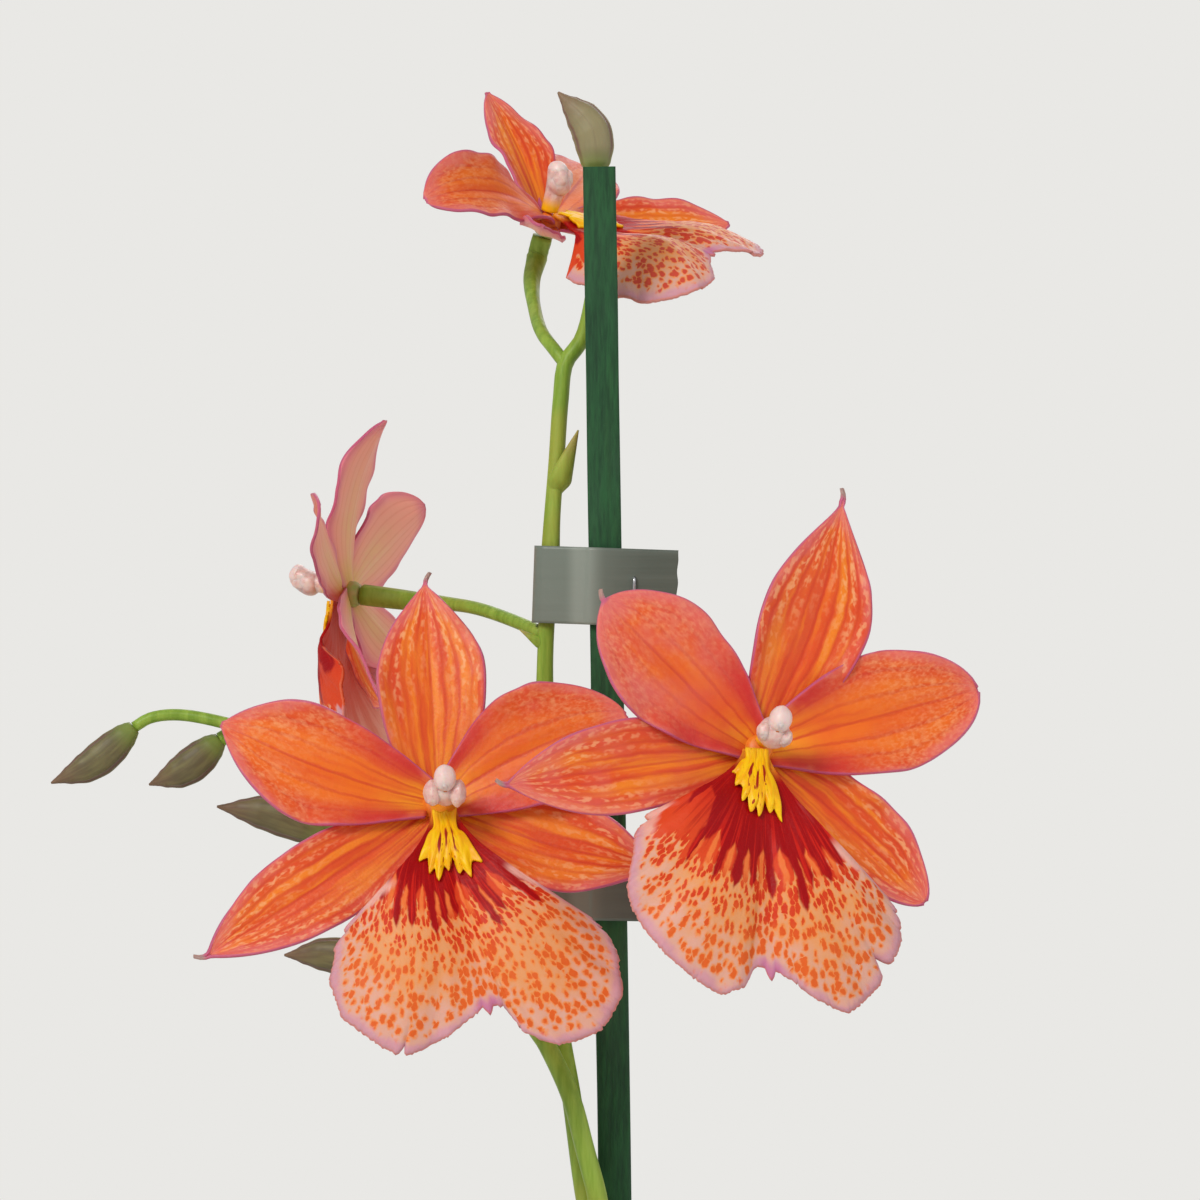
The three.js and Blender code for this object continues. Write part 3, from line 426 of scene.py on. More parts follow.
def lipFinish():
    c = lipPaint
    made = Finish("lip tissue", 0.56, 0.16, (0.12, 0.0012))
    step = made.step
    turn, reach, rim = made.split("fan")
    x, y, seed = made.split("flat")
    flat = made.join(x, y, seed)
    blurred = made.noise(flat, 0.35, 3.0) - 0.5
    raggedX, raggedY, _ = made.split(made.noise(flat, 1.1, 3.0, output=1))
    offMiddle = abs(turn)

    # spots: longer than wide, larger and merging near the fan, smaller and paler outwards
    spotPlace = made.join(
        turn * 1.8 + (raggedX * 0.9 + seed * 3.1), reach * 0.64 + (raggedY * 0.6 + blurred * 0.9),
    )
    away = made.cells(spotPlace)
    chance = made.split(made.cells(spotPlace, 1))[0]
    size = step(reach + blurred * 6.0, 16.0, 22.0, 0.68, 0.46)
    young = step(seed, 5.0, 6.0)
    size = size - chance * 0.34 + young * 0.04
    size += step(offMiddle, 4.0, 0.3, 0.0, 0.1)
    size -= step(rim + blurred * 2.5, 2.0, 0.5, 0.0, 0.4)
    beyond = away - size
    made.ground((rim + blurred * 9.0, 1.5, 8.0), c["pale"], c["ground"])
    made.over((beyond, 0.3, 0.0, 0, 0.85), c["halo"])
    outerTone = step(reach + blurred * 8.0, 20.0, 28.0)
    outerTone = made.mix(outerTone, c["spot"], made.mix(young, c["spotOuter"], c["spotYoung"]))
    made.over((beyond, 0.07, -0.08), outerTone)
    made.over((rim + blurred * 2.4, 1.5, 0.4, 0, 0.85), c["rim"])

    # fan: orange red that ends in a torn edge, pale lanes in it and crimson fingers over it
    lane = turn * (1 / c["laneWidth"]) + blurred * 0.5 + seed * 5.3
    scale = reach * (c["laneWidth"] / c["turnAt"])
    fromFinger = made.lanes(lane) * scale
    fromLane = made.lanes(lane, "DISTANCE_TO_EDGE") * scale
    draw, drawn, _ = made.split(made.lanes(lane, output=1))
    torn = made.noise((turn * 0.9, reach * 0.16, seed), 1.0, 2.0)
    fanEdge = 17.2 + step(offMiddle, 5.0, 12.0, 0.0, 1.2) + (torn - 0.5) * 13.0
    made.over((reach - fanEdge, 0.5, -0.5), made.mix((reach, 17.0, 9.0), c["side"], c["fan"]))
    fine = made.noise((turn * 2.4, reach * 0.1, seed), 1.0, 3.0)
    lines = step(fine, 0.52, 0.66) * step(reach, 17.5, 14.0, 0, 0.55)
    made.over(lines * 0.8, c["crimson"])
    laneOpen = step(reach - drawn * 4.5, 9.5, 15.0, -0.1, 0.36)
    opened = step(fromLane - laneOpen, 0.12, -0.12) * step(offMiddle, 13.0, 9.0)
    made.over(opened * step(reach, 20.0, 17.0), c["lane"])
    short = step(offMiddle, 7.5, 17.0, 0.0, 9.0)
    tip = 18.4 + draw * 5.0 - short
    wide = 0.4 + drawn * 0.24 + step(reach + short * 0.55, 16.0, 11.0, 0.0, 1.7)
    wide *= step(reach - tip, 0.0, -2.0)
    finger = step(fromFinger - wide, 0.24, -0.16) * step(reach - tip, 0.2, -0.8)
    deepest = made.mix(step(fine, 0.5, 0.34) * step(reach, 8.0, 15.0, 0.4, 0.9), c["crimson"], c["redder"])
    made.over(finger, deepest)
    made.over((reach, 5.5, 2.0, 0, 0.9), c["gold"])

    # pale ragged shoulders, the purple point in the notch and a fine tooth line
    ear = step(reach, 14.0, 16.0) * step(reach, 20.5, 19.0)
    ear = ear * step(rim + (torn - 0.5) * 4.0, 2.6, 1.4) * (1.0 - young)
    made.over(ear * 0.9, c["ear"])
    made.over(step(rim, 1.6, 0.5) * step(offMiddle, 1.3, 0.5, 0, 0.85), c["tip"])
    made.over((rim, 0.3, 0.05, 0, 0.5), c["tooth"])
    veins = made.noise((turn * 1.6, reach * 0.12, seed), 1.0, 3.0)
    made.relief(veins * 0.8 + made.noise(flat, 2.0, 3.0), 0.4, 0.0002)
    made.rough((blurred, -0.2, 0.2, 0.42, 0.56))
    return made.material


def lipBackFinish():
    made = Finish("lip back", 0.55, 0.3, (0.12, 0.0012))
    turn, reach, rim = made.split("fan")
    x, y, seed = made.split("flat")
    veins = made.noise((turn * 0.9, reach * 0.1, seed), 1.0, 3.0)
    made.ground((veins, 0.35, 0.65), (240, 168, 146), (226, 126, 100))
    made.over((reach, 22.0, 12.0, 0, 0.85), (206, 56, 30))
    made.over((rim, 2.4, 0.4, 0, 0.7), (218, 158, 172))
    made.relief(veins + made.noise((x, y, seed), 2.0, 3.0), 0.4, 0.0002)
    return made.material


def callusFinish():
    # "place" holds across, along and a seed
    made = Finish("callus wax", 0.4, 0.3, (0.1, 0.001))
    step = made.step
    across, along, seed = made.split("place")
    grain = made.noise((across * 6, along * 3, seed), 1.0, 3.0)
    made.ground((grain, 0.35, 0.7), (250, 198, 0), (242, 168, 0))
    made.over((along, 0.3, 0.0, 0, 0.5), (240, 196, 40))
    bent = across + (grain - 0.5) * 0.1
    bent += step(across, -0.2, -0.5, 0, 0.12) * step(along, 0.6, 0.25)
    line = step(abs(made.sum("SINE", bent * (2.4 * math.pi))), 0.56, 0.36)
    line *= step(abs(across), 0.6, 0.52)
    ends = along + (grain - 0.5) * 0.3
    made.over(line * (step(ends, 0.3, 0.36) * step(ends, 0.7, 0.62)), (160, 26, 10))
    dots = step(made.noise((across, along * 0.6, seed), 13.0, 1.0), 0.64, 0.7)
    dots *= step(along, 0.5, 0.6) * step(abs(across), 0.6, 0.45)
    made.over(dots, (176, 52, 8))
    made.relief(grain, 0.3, 0.0002)
    return made.material


def columnFinish():
    # "zone" holds the cap's share, the stigma's share and the height, yellow at the foot
    made = Finish("column wax", 0.38, glow=(0.25, 0.0015), Coat_Weight=0.1)
    cap, stigma, height = made.split("zone")
    place = made.onObject()
    mottle = made.noise(place, 0.9, 3.0)
    made.ground((mottle, 0.35, 0.72), (236, 204, 194), (222, 168, 160))
    made.over(cap * 0.7, (240, 214, 208))
    freckle = made.step(made.noise(place, 3.2, 2.0), 0.6, 0.7, 0, 0.4)
    freckle *= made.step(cap, 1.0, 0.4)
    made.over(freckle, (200, 112, 104))
    made.over((height, 0.42, 0.1), (250, 194, 10))
    made.over(stigma, (214, 112, 40))
    made.relief(made.noise(place, 2.0, 3.0), 0.2, 0.0002)
    return made.material


# Green parts. "along" holds the share of the length, the angle round it and a tone, or the number of
# the bud or the bulb.

def stemFinish():
    made = Finish("stem skin", 0.46, 0.25, (0.08, 0.002))
    streak = made.noise(made.onObject((1000, 1000, 90)), 0.9, 4.0, 0.6)
    patch = made.noise(made.onObject(), 0.08, 2.0)
    made.ground((streak, 0.3, 0.7), (150, 178, 70), (118, 150, 46))
    made.over((patch, 0.45, 0.7, 0, 0.45), (172, 160, 66))
    made.over((made.split("along")[2], 0.1, 0.9, 0, 0.65), (168, 140, 84))
    made.relief(streak, 0.25, 0.0003)
    made.rough((patch, 0.3, 0.7, 0.36, 0.5))
    return made.material


def seatFinish():
    # green behind and gold in front, where the blades meet
    made = Finish("bloom seat", 0.45, glow=(0.1, 0.002))
    share = made.split("along")[0]
    grain = made.noise(made.onObject(), 0.8, 3.0)
    made.ground((grain, 0.3, 0.7), (150, 164, 76), (176, 148, 84))
    made.over((share, 0.42, 0.56), made.mix(grain, (246, 150, 40), (226, 104, 36)))
    made.relief(grain, 0.3, 0.0003)
    return made.material


def budFinish():
    made = Finish("bud skin", 0.5, 0.4, (0.06, 0.002))
    share, angle, seed = made.split("along")
    grain = made.noise((angle * 3.0, share * 3.0, seed), 1.2, 3.0)
    made.ground((grain, 0.3, 0.7), (118, 110, 70), (96, 86, 58))
    made.over((seed, 4.4, 4.6, 0, 0.6), (158, 146, 108))
    seam = abs(made.sum("SINE", angle * 1.5))
    made.over((seam, 0.34, 0.03, 0, 0.7), (112, 72, 72))
    made.over((share, 0.55, 1.0, 0, 0.6), (122, 84, 70))
    made.over((share, 0.3, 0.0, 0, 0.85), (122, 142, 58))
    made.relief(made.step(seam, 0.3, 0.0) * -1.0 + grain, 0.2, 0.0002)
    return made.material


def leafFinish():
    made = Finish("leaf blade", 0.36, 0.45, (0.04, 0.002), Coat_Weight=0.08)
    across, along, seed = made.split("place")
    wide, deep, _ = made.split("size")
    vein = abs(made.sum("SINE", across * (13 * math.pi)))
    patch = made.noise((wide * 0.3, deep * 0.05, seed), 1.0, 4.0)
    made.ground((patch, 0.3, 0.7), (86, 134, 52), (58, 104, 34))
    made.over((vein, 0.4, 0.0, 0, 0.35), (46, 88, 30))
    made.over((abs(wide), 0.9, 0.2, 0, 0.5), (128, 162, 78))
    made.over((along, 0.12, 0.0, 0, 0.7), (164, 178, 104))
    tip = along + (patch - 0.5) * 0.1
    made.over((tip, 0.965, 0.995, 0, 0.8), (150, 118, 60))
    made.relief(vein * 0.8 + patch, 0.4, 0.0004)
    made.rough((patch, 0.3, 0.7, 0.3, 0.46))
    return made.material


def bulbFinish():
    made = Finish("pseudobulb skin", 0.42, 0.4, (0.05, 0.003))
    share, angle, seed = made.split("along")
    streak = made.noise((angle * 3.0, share * 1.5, seed), 2.0, 4.0, 0.6)
    made.ground((streak, 0.3, 0.7), (142, 162, 76), (104, 128, 48))
    made.over((share, 0.75, 1.0, 0, 0.45), (150, 120, 70))
    made.over((made.noise(made.onObject(), 0.5, 3.0), 0.58, 0.68, 0, 0.5), (104, 84, 46))
    made.relief(streak, 0.5, 0.0006)
    return made.material


def sheathFinish():
    made = Finish("dry sheath", 0.75, 0.2)
    share, angle, seed = made.split("along")
    fibre = made.noise((angle * 14.0, share * 1.2, seed), 1.5, 4.0, 0.65)
    made.ground((fibre, 0.3, 0.7), (196, 170, 124), (142, 112, 74))
    made.over((share, 0.6, 1.0, 0, 0.5), (116, 88, 58))
    made.relief(fibre, 0.6, 0.0005)
    return made.material


# Pot, bark, stake, ties and staples

def potFinish():
    made = Finish("pot plastic", 0.5, 0.45)
    place = made.onObject()
    rings = made.noise(made.onObject((12, 12, 700)), 1.0, 2.0)
    scuff = made.noise(place, 0.06, 5.0, 0.65)
    made.ground((scuff, 0.4, 0.7), (72, 76, 73), (92, 95, 90))
    dust = made.noise(made.onObject((1000, 1000, 260)), 0.3, 4.0, 0.7)
    made.over((dust, 0.6, 0.75, 0, 0.35), (150, 146, 134))
    made.relief(rings * 0.4 + made.noise(place, 1.4, 2.0), 0.3, 0.0003)
    made.rough((scuff, 0.3, 0.75, 0.42, 0.62))
    return made.material


def barkFinish(name, light, dark, scale):
    # "chip" holds the chip's own seed
    made = Finish(name, 0.9, 0.15)
    seed = made.split("chip")[0]
    terms = {0: made.onObject(), 1: made.join(seed * 40.0, seed, seed)}
    moved = made.add("VectorMath", terms, operation="ADD")
    grain = made.noise(moved, scale, 6.0, 0.65)
    made.ground((grain, 0.32, 0.68), dark, light)
    made.over(seed * 0.55, (92, 50, 32))
    made.over((made.noise(moved, 0.16, 3.0), 0.6, 0.75, 0, 0.5), (176, 138, 100))
    made.relief(grain, 0.8, 0.0012)
    return made.material


def stakeFinish():
    made = Finish("dyed wood", 0.62, 0.3)
    grain = made.noise(made.onObject((1700, 1700, 210)), 1.0, 5.0, 0.65)
    broad = made.noise(made.onObject((380, 380, 26)), 1.0, 3.0)
    cloud = made.noise(made.onObject((160, 160, 60)), 1.0, 4.0, 0.6)
    made.ground((grain, 0.3, 0.72), (18, 60, 32), (38, 88, 50))
    made.over((broad, 0.5, 0.75, 0, 0.4), (54, 100, 50))
    made.over((broad, 0.45, 0.25, 0, 0.4), (12, 44, 26))
    made.over((cloud, 0.45, 0.75, 0, 0.3), (58, 98, 68))
    made.relief(grain + broad * 0.8, 0.5, 0.0003)
    made.rough((grain, 0.3, 0.7, 0.5, 0.72))
    return made.material


def tapeFinish():
    # smooth grey tape with faint drawn lines, painted lighter on the left and darker on the right, with a
    # painted highlight band near its bend
    made = Finish("tying tape", 0.4, 0.5, Coat_Weight=0.1, Coat_Roughness=0.35)
    x = made.split(made.onObject())[0]
    drawn = made.noise(made.onObject((60, 60, 2600)), 0.5, 3.0)
    cloud = made.noise(made.onObject((260, 260, 90)), 0.8, 2.0)
    # painted light and shade: the tape is painted lighter on the left and darker on the right
    made.ground((x, -6.0, 8.0), (112, 121, 110), (78, 86, 76))
    made.over((drawn, 0.35, 0.7, 0, 0.3), (104, 112, 102))
    # painted highlight: a lighter band across the tape near its bend
    paintedHighlight = made.step(x, -5.2, -3.2) * made.step(x, 1.0, -2.2, 0, 0.45)
    made.over(paintedHighlight, (158, 165, 154))
    made.relief(drawn + made.noise(made.onObject(), 1.2, 3.0), 0.1, 0.0002)
    made.rough((cloud, 0.3, 0.7, 0.34, 0.46))
    return made.material


def wireFinish():
    made = Finish("staple wire", 0.28, Metallic=1.0)
    rub = made.noise(made.onObject((1000, 1000, 300)), 2.5, 3.0)
    made.ground((rub, 0.3, 0.7), (206, 206, 208), (160, 162, 166))
    made.rough((rub, 0.3, 0.7, 0.2, 0.4))
    return made.material


finishes = {
    "petal": tissueFinish("petal"), "sepal": tissueFinish("sepal"), "tissueBack": tissueBackFinish(),
    "lip": lipFinish(), "lipBack": lipBackFinish(), "callus": callusFinish(), "column": columnFinish(),
    "bud": budFinish(), "leaf": leafFinish(), "stem": stemFinish(), "seat": seatFinish(),
    "bulb": bulbFinish(), "sheath": sheathFinish(), "pot": potFinish(), "stake": stakeFinish(),
    "chips": barkFinish("bark chips", (150, 104, 70), (70, 42, 28), 0.35),
    "soil": barkFinish("bark crumb", (96, 66, 46), (38, 26, 20), 0.7),
    "tape": tapeFinish(), "wire": wireFinish(),
}
print("materials made:", len(finishes))


# Blooms. Angles are in degrees, from the upright sepal, seen from the front; rise lifts a foot
# towards the front and bend carries its tip back. In a bloom's own frame X is right, Y is up
# towards the upright sepal and Z is out of its face.

sepalForm = {"kind": "sepal", "widest": 0.54, "foot": 0.36, "swell": 1, "point": 0.78}
petalForm = {"kind": "petal", "widest": 0.57, "foot": 0.32, "swell": 1.1, "point": 0.56}
tissueSize = {
    "start": 1, "edge": 0.35, "thickness": 0.45, "across": 30, "along": 64, "ruffle": 1.05, "channel": 0.28,
    "channelWidth": 0.9, "uneven": 0.1, "cup": 0.16, "wave": 0.35, "waves": 9, "crinkle": 0.12,
    "hookSide": 0.3, "hookUp": 0.15, "hookWidths": (0.85, 0.3), "petalsInFront": 0.7,
}
lipSize = {
    "claw": 1.8, "clawTop": -0.6, "flare": 1.6, "thickness": 0.45, "solid": 0.7, "front": 2.1, "gap": 0.3,
    "across": 260, "along": 44, "rimSteps": 600, "tooth": 0.32, "ruffle": 0.9, "crinkle": 0.16,
    "groove": 0.2, "point": 1.7, "lobeRise": 1.8, "lobeGap": 16, "lobeStart": (6, 13), "rimDrop": 2.2,
    "frill": 0.55, "frills": 9,
}

# lip outlines from shoulder to shoulder: the angle about a point on the neck, and the radius
broadLip = [
    (66, 20.5), (62, 23.8), (55, 27), (47, 30.3), (37, 31.5), (26, 29.9), (19, 26.2), (16, 21.5), (10, 20.5),
    (3, 22.2), (-8, 25.3), (-18, 28.4), (-37, 26.8), (-48, 24.1), (-57, 20.4), (-64, 17),
]
squareLip = [
    (62, 20.2), (57, 23.4), (50, 25.2), (43, 26.2), (35, 27.8), (25, 28.9), (18, 26.4), (10, 22.6), (3, 20.8),
    (-3, 20.7), (-7, 24), (-13, 25.6), (-34, 24.3), (-56, 22.6), (-75, 19.2), (-86, 17.2), (-91, 15.8),
]
youngLip = [
    (82, 14), (68, 19), (55, 24), (42, 27.6), (30, 28.8), (19, 26.8), (8, 22), (0, 19.4),
    (-8, 22), (-19, 26.8), (-30, 28.8), (-42, 27.6), (-55, 24), (-68, 19), (-82, 14),
]


def blade(form, values, more):
    return {**form, **dict(zip(("angle", "length", "width", "rise", "bend"), values)), **more}


def sepal(*values, **more):
    return blade(sepalForm, values, more)


def petal(*values, **more):
    return blade(petalForm, values, more)


blooms = [
    {
        "centre": (-22.8, -19, 448.5), "yaw": 0, "pitch": 18, "roll": 0, "scale": 1,
        "from": (-20.5, -3.8, 437.5), "column": {"lean": -1, "foot": (1.2, 1.1)},
        "lip": {"outline": broadLip, "centre": (1.5, -11), "middle": 10, "turn": 4, "forward": 0.12,
                "neck": 2.6, "waist": 0.08, "shift": 0.85,
                "nicks": [(-18, 1.6, 0.35), (-61, 1.0, 0.6), (63, 0.9, 0.6)]},
        "tepals": [
            sepal(3.5, 31.3, 15.7, 10, -14, hook=1.6, point=0.95),
            petal(70, 31.6, 16.8, 12, -16, sway=-1.3, point=0.8),
            petal(-66, 28.4, 17.2, 14, -12, sway=-1.1),
            sepal(125, 37.9, 13.2, 8, -12, sway=-0.6, hook=1.8),
            sepal(-107, 31, 13, 8, -12, sway=1.2),
        ],
    },
    {
        "centre": (21.8, -33, 456.5), "yaw": 14, "pitch": 12, "roll": -19, "scale": 1,
        "from": (-7.6, -2.6, 447),
        "via": [(-3, 1.8, 448.6), (3.4, 2.6, 450), (10.5, -3, 451.6), (16.6, -15, 453.6)],
        "column": {"lean": 12, "wing": (0.95, 1.2, 1.2), "wingOut": 1.6},
        "lip": {"outline": squareLip, "centre": (0, -11), "middle": 3, "turn": 14, "forward": 0.12,
                "neck": 2.6, "shift": -1, "fan": 0.9,
                "nicks": [(41, 2.4, 0.7), (-86, 1.2, 0.6), (58, 1.0, 0.6)]},
        "callus": {"top": 0, "end": 0.25, "sides": 0, "share": (0.85, 0.72), "side": 0.16},
        "tepals": [
            sepal(-2.4, 36.6, 15.5, 11, -14, sway=1.5, point=1.2, hook=1.6),
            petal(65, 28.8, 17.8, 12, -16, blush=0.7, hook=1.6, sway=-0.7),
            petal(-57, 31.7, 17.2, 12, -16),
            sepal(117, 35.9, 13, 7, -6, hook=1.6, blush=0.5),
            sepal(-115, 30.5, 12, 8, -12, sway=-0.6, point=0.56),
        ],
    },
    {
        "centre": (-7.6, 22, 532), "yaw": 54, "pitch": 59, "roll": 7, "scale": 0.8,
        "from": (-5, 0, 511.2), "stalk": 3,
        "via": [(-6.6, 1.5, 513.3), (-8.2, 4.5, 515.5), (-9.4, 12, 519.2), (-9.9, 19.5, 524)],
        "column": {"halfWidth": 1.9, "halfDepth": 1.8, "wing": (1.3, 1.4, 2), "wingOut": 1, "wingDown": 1.4},
        "lip": {"outline": youngLip, "centre": (0, -10), "middle": 0, "turn": 9, "forward": 0.3,
                "swing": (4, 26), "roof": 0.4, "neck": 1.4},
        "tepals": [
            sepal(-15, 23.4, 9, 31, -10, sway=1, twist=15), petal(71, 24.6, 11.5, 29, -60, twist=28),
            petal(-68, 23.7, 13, 14, -12), sepal(114, 15, 7, 0, 30), sepal(-119, 29.4, 12, 4, 22, twist=-28),
        ],
    },
    {
        "centre": (-36.8, 32, 478.2), "yaw": -110, "pitch": 2, "roll": 0, "scale": 0.84,
        "from": (-8.2, -1.6, 472.6), "via": [(-10, 1.4, 473.4), (-18.1, 14, 476.2)],
        "column": {"halfWidth": 1.8, "halfDepth": 1.7, "wing": (1, 1.2, 2), "wingOut": 1, "wingDown": 1.2},
        "lip": {"outline": youngLip, "centre": (0, -10), "middle": 0, "turn": 2, "forward": -0.12,
                "roof": -0.3, "neck": 0.4, "fan": 0.72},
        "tepals": [
            sepal(0, 25.8, 12.4, 12, -46), petal(58, 24.3, 13, 1, -20),
            petal(-62, 26.8, 11.5, -1, -20, twist=-12), sepal(130, 18, 10, -12, -16),
            sepal(-127, 28.6, 10.5, -19, -22),
        ],
    },
]


def bloomMatrix(bloom, scale=1):
    matrix = Matrix.Translation(bloom["centre"])
    for axis, angle in (("Z", bloom["yaw"]), ("X", 90 - bloom["pitch"]), ("Z", bloom["roll"])):
        matrix = matrix @ Matrix.Rotation(math.radians(angle), 4, axis)
    return matrix @ Matrix.Scale(scale, 4)


def tepalWidth(one, along):
    widest, foot = one["widest"], one["foot"]
    if along < widest:
        share = foot + (1 - foot) * math.sin(math.pi / 2 * limited(along) / widest) ** one["swell"]
    else:
        share = math.sin(math.pi / 2 * limited(1 - along) / (1 - widest)) ** one["point"]
    width = max(tissueSize["edge"], one["width"] / 2 * share)
    if along > 1:
        past = limited((along - 1) * one["length"] / max(one.get("hook", 0), 0.01))
        width *= blend(*tissueSize["hookWidths"], past)
    return width


def tepalPoint(one, along, across, seed):
    # a blade arched along its length and cupped across it, with a soft channel and a waved margin
    size = tissueSize
    rise, bend, angle = [math.radians(one[key]) for key in ("rise", "bend", "angle")]
    length = one["length"]
    out = size["start"] + length * (math.sin(rise + bend * along) - math.sin(rise)) / bend
    lift = length * (math.cos(rise) - math.cos(rise + bend * along)) / bend
    twist = math.radians(one.get("twist", 0)) * eased(along, 0, 0.5)
    body = math.sin(math.pi * limited(along)) ** 0.6 if 0 < along < 1 else 0
    uneven = wobble(along * 3.4, math.copysign(2, across), seed * 5)
    span = tepalWidth(one, along) * across * (1 + size["uneven"] * uneven * body)
    reach = span * math.cos(twist) + one.get("sway", 0) * math.sin(math.pi * limited(along))
    cup = size["cup"] * abs(span * across) + span * math.sin(twist)
    cup += size["wave"] * across**2 * math.sin(size["waves"] * along + one["angle"])
    loose = wobble(across * 1.2 + seed, along * 7, seed * 3)
    cup += size["ruffle"] * body * across**4 * loose
    cup -= size["channel"] * body * swelling(span, 0, size["channelWidth"])
    cup += size["crinkle"] * body * wobble(span * 0.35, along * length * 0.16, seed * 7)
    past = max(0, along - 1) * length
    reach += size["hookSide"] * past**2 * (1 if one["angle"] > 0 else -1)
    lean = rise + bend * along
    out -= cup * math.sin(lean)
    layer = size["petalsInFront"] if one["kind"] == "petal" else 0
    return Vector((
        -math.sin(angle) * out + math.cos(angle) * reach,
        math.cos(angle) * out + math.sin(angle) * reach,
        layer + lift + cup * math.cos(lean) + size["hookUp"] * past**2,
    ))


def makeTepals(bloom, number):
    bm, place, size, tone = blank("place", "size", "tone")
    matrix = bloomMatrix(bloom)
    for index, one in enumerate(bloom["tepals"]):
        seed = number * 1.7 + index * 0.61
        top = 1 + one.get("hook", 0) / one["length"]

        def put(vert, across, row):
            along = row * top
            width = tepalWidth(one, along)
            margin = min((1 - abs(across)) * width, max(0, 1 - along) * one["length"] * 0.6 + 0.02)
            vert[place] = (across, along, seed)
            vert[size] = (across * width, along * one["length"], margin)
            vert[tone] = (one.get("blush", 0), limited((along - 1) * one["length"] / 1.2), 0)
            return matrix @ tepalPoint(one, along, across, seed)

        sheet(bm, tissueSize["across"], tissueSize["along"], put, 0 if one["kind"] == "petal" else 1)
    finishPiece(
        bm, f"bloom{number}Tepals", [f"bloom_{number}_tepals"],
        ["petal", "sepal", "tissueBack", "tissueBack"], thickness=tissueSize["thickness"],
    )


def lipRim(own, turn):
    # the lip's edge at a share of the outline: the angle and the place
    first, last = own["outline"][0][0], own["outline"][-1][0]
    angle = blend(first, last, (turn + 1) / 2)
    radius = fromTable(own["outline"][::-1], angle)
    return angle, Vector((
        own["centre"][0] + radius * math.sin(math.radians(angle)),
        own["centre"][1] - radius * math.cos(math.radians(angle)), 0,
    ))


def lipPoint(own, along, turn, extra=(0, 0)):
    # a point of the lip, placed and flat; extra: how far the edge stands out, and how far it is lifted
    angle, edge = lipRim(own, turn)
    if extra[0]:
        centre = Vector((*own["centre"], 0))
        edge += (edge - centre).normalized() * extra[0]
    waist, shift = own.get("waist", 0), own.get("shift", 0)
    opened = max((along - waist) / (1 - waist), 0) ** lipSize["flare"]
    x = blend(shift - lipSize["claw"] * turn, edge.x, opened)
    y = blend(lipSize["clawTop"], edge.y, along)
    neck = own["neck"] * eased(-y, 0.5, 9)
    lobes = math.sin(math.pi * limited((along - 0.28) / 0.72))
    lobes *= eased(math.hypot(x, y), *lipSize["lobeStart"])
    lobes *= lipSize["lobeRise"] * (1 - swelling(angle, own["middle"], lipSize["lobeGap"]))
    rim = lipSize["frill"] * math.sin(math.radians(angle) * lipSize["frills"]) * along**3
    rim -= lipSize["rimDrop"] * along**4
    swing = eased(-y, *own["swing"]) if "swing" in own else 1
    roof = own.get("roof", 0)
    slope = max(0, -x * math.copysign(1, roof)) * abs(roof) * along
    droop = -y * own["forward"] * swing - slope
    rest = lipSize["front"] + lipSize["gap"] + lipSize["solid"] / 2
    c, s = math.cos(math.radians(own["turn"])), math.sin(math.radians(own["turn"]))
    return Vector((x * c - y * s, x * s + y * c, rest + neck + lobes + rim + droop + extra[1])), x, y


def makeLip(bloom, number):
    own = bloom["lip"]
    bm, fan, flat = blank("fan", "flat")
    matrix = bloomMatrix(bloom, bloom["scale"])
    # even steps along the rim, so that its teeth are alike all round
    fine = lipSize["rimSteps"]
    turns = [2 * i / fine - 1 for i in range(fine + 1)]
    rims = [lipRim(own, turn)[1] for turn in turns]
    reach = [0]
    for a, b in zip(rims, rims[1:]):
        reach.append(reach[-1] + (b - a).length)
    first, last = own["outline"][0][0], own["outline"][-1][0]

    def atAngle(angle):
        return round((angle - first) / (last - first) * fine)

    middle = rims[atAngle(own["middle"])]
    middleAway = math.atan2(middle.x, -middle.y)
    nicks = [(reach[atAngle(angle)], depth, width) for angle, depth, width in own.get("nicks", [])]
    nicks.append((reach[atAngle(own["middle"])], -lipSize["point"], 0.5))
    table = list(zip(reach, turns))

    def put(vert, across, along):
        goal = (across + 1) / 2 * reach[-1]
        turn = fromTable(table, goal)
        tooth = wobble(goal * 2.1, number * 5, 0)
        tooth += 0.7 * wobble(goal * 4.6, number, 4)
        nick = sum(depth * swelling(goal, at, width) for at, depth, width in nicks)
        out = (lipSize["tooth"] * tooth - nick) * along**10
        loose = wobble(goal * 0.28, number * 3.3, 1.7)
        lift = lipSize["ruffle"] * loose * along**4
        lift += lipSize["crinkle"] * wobble(goal * 0.5 * along, along * 9, number) * along
        point, x, y = lipPoint(own, along, turn, (out, lift))
        groove = lipSize["groove"] * swelling(x, middle.x * along, 0.8)
        point.z -= groove * eased(along, 0.3, 0.5) * (1 - along**3)
        edge = lipRim(own, turn)[1]
        far = math.hypot(x, y)
        away = math.atan2(x, -y + 0.001) - middleAway * eased(far, 6, 26)
        side = (1 - abs(across)) * reach[-1] / 2 * along + max(0, 14 - far) * 0.6
        rim = min((1 - along) * max(edge.length, 6) * 0.8, side)
        vert[fan] = (away * lipPaint["turnAt"], far * own.get("fan", 1), rim)
        vert[flat] = (x, y, number * 2.3)
        return matrix @ point

    sheet(bm, lipSize["across"], lipSize["along"], put)
    finishPiece(
        bm, f"bloom{number}Lip", [f"bloom_{number}_lip"], ["lip", "lipBack"],
        thickness=lipSize["thickness"],
    )


callusSize = {
    "across": 96, "along": 32, "fingers": 6, "top": 0.05, "end": 0.295, "finger": 0.042, "sides": 0.12,
    "share": (0.9, 0.8), "side": 0, "waist": 0.2, "height": 0.7, "ridge": 0.08, "base": 0.4, "lump": 0.14,
    "thickness": 0.45,
}


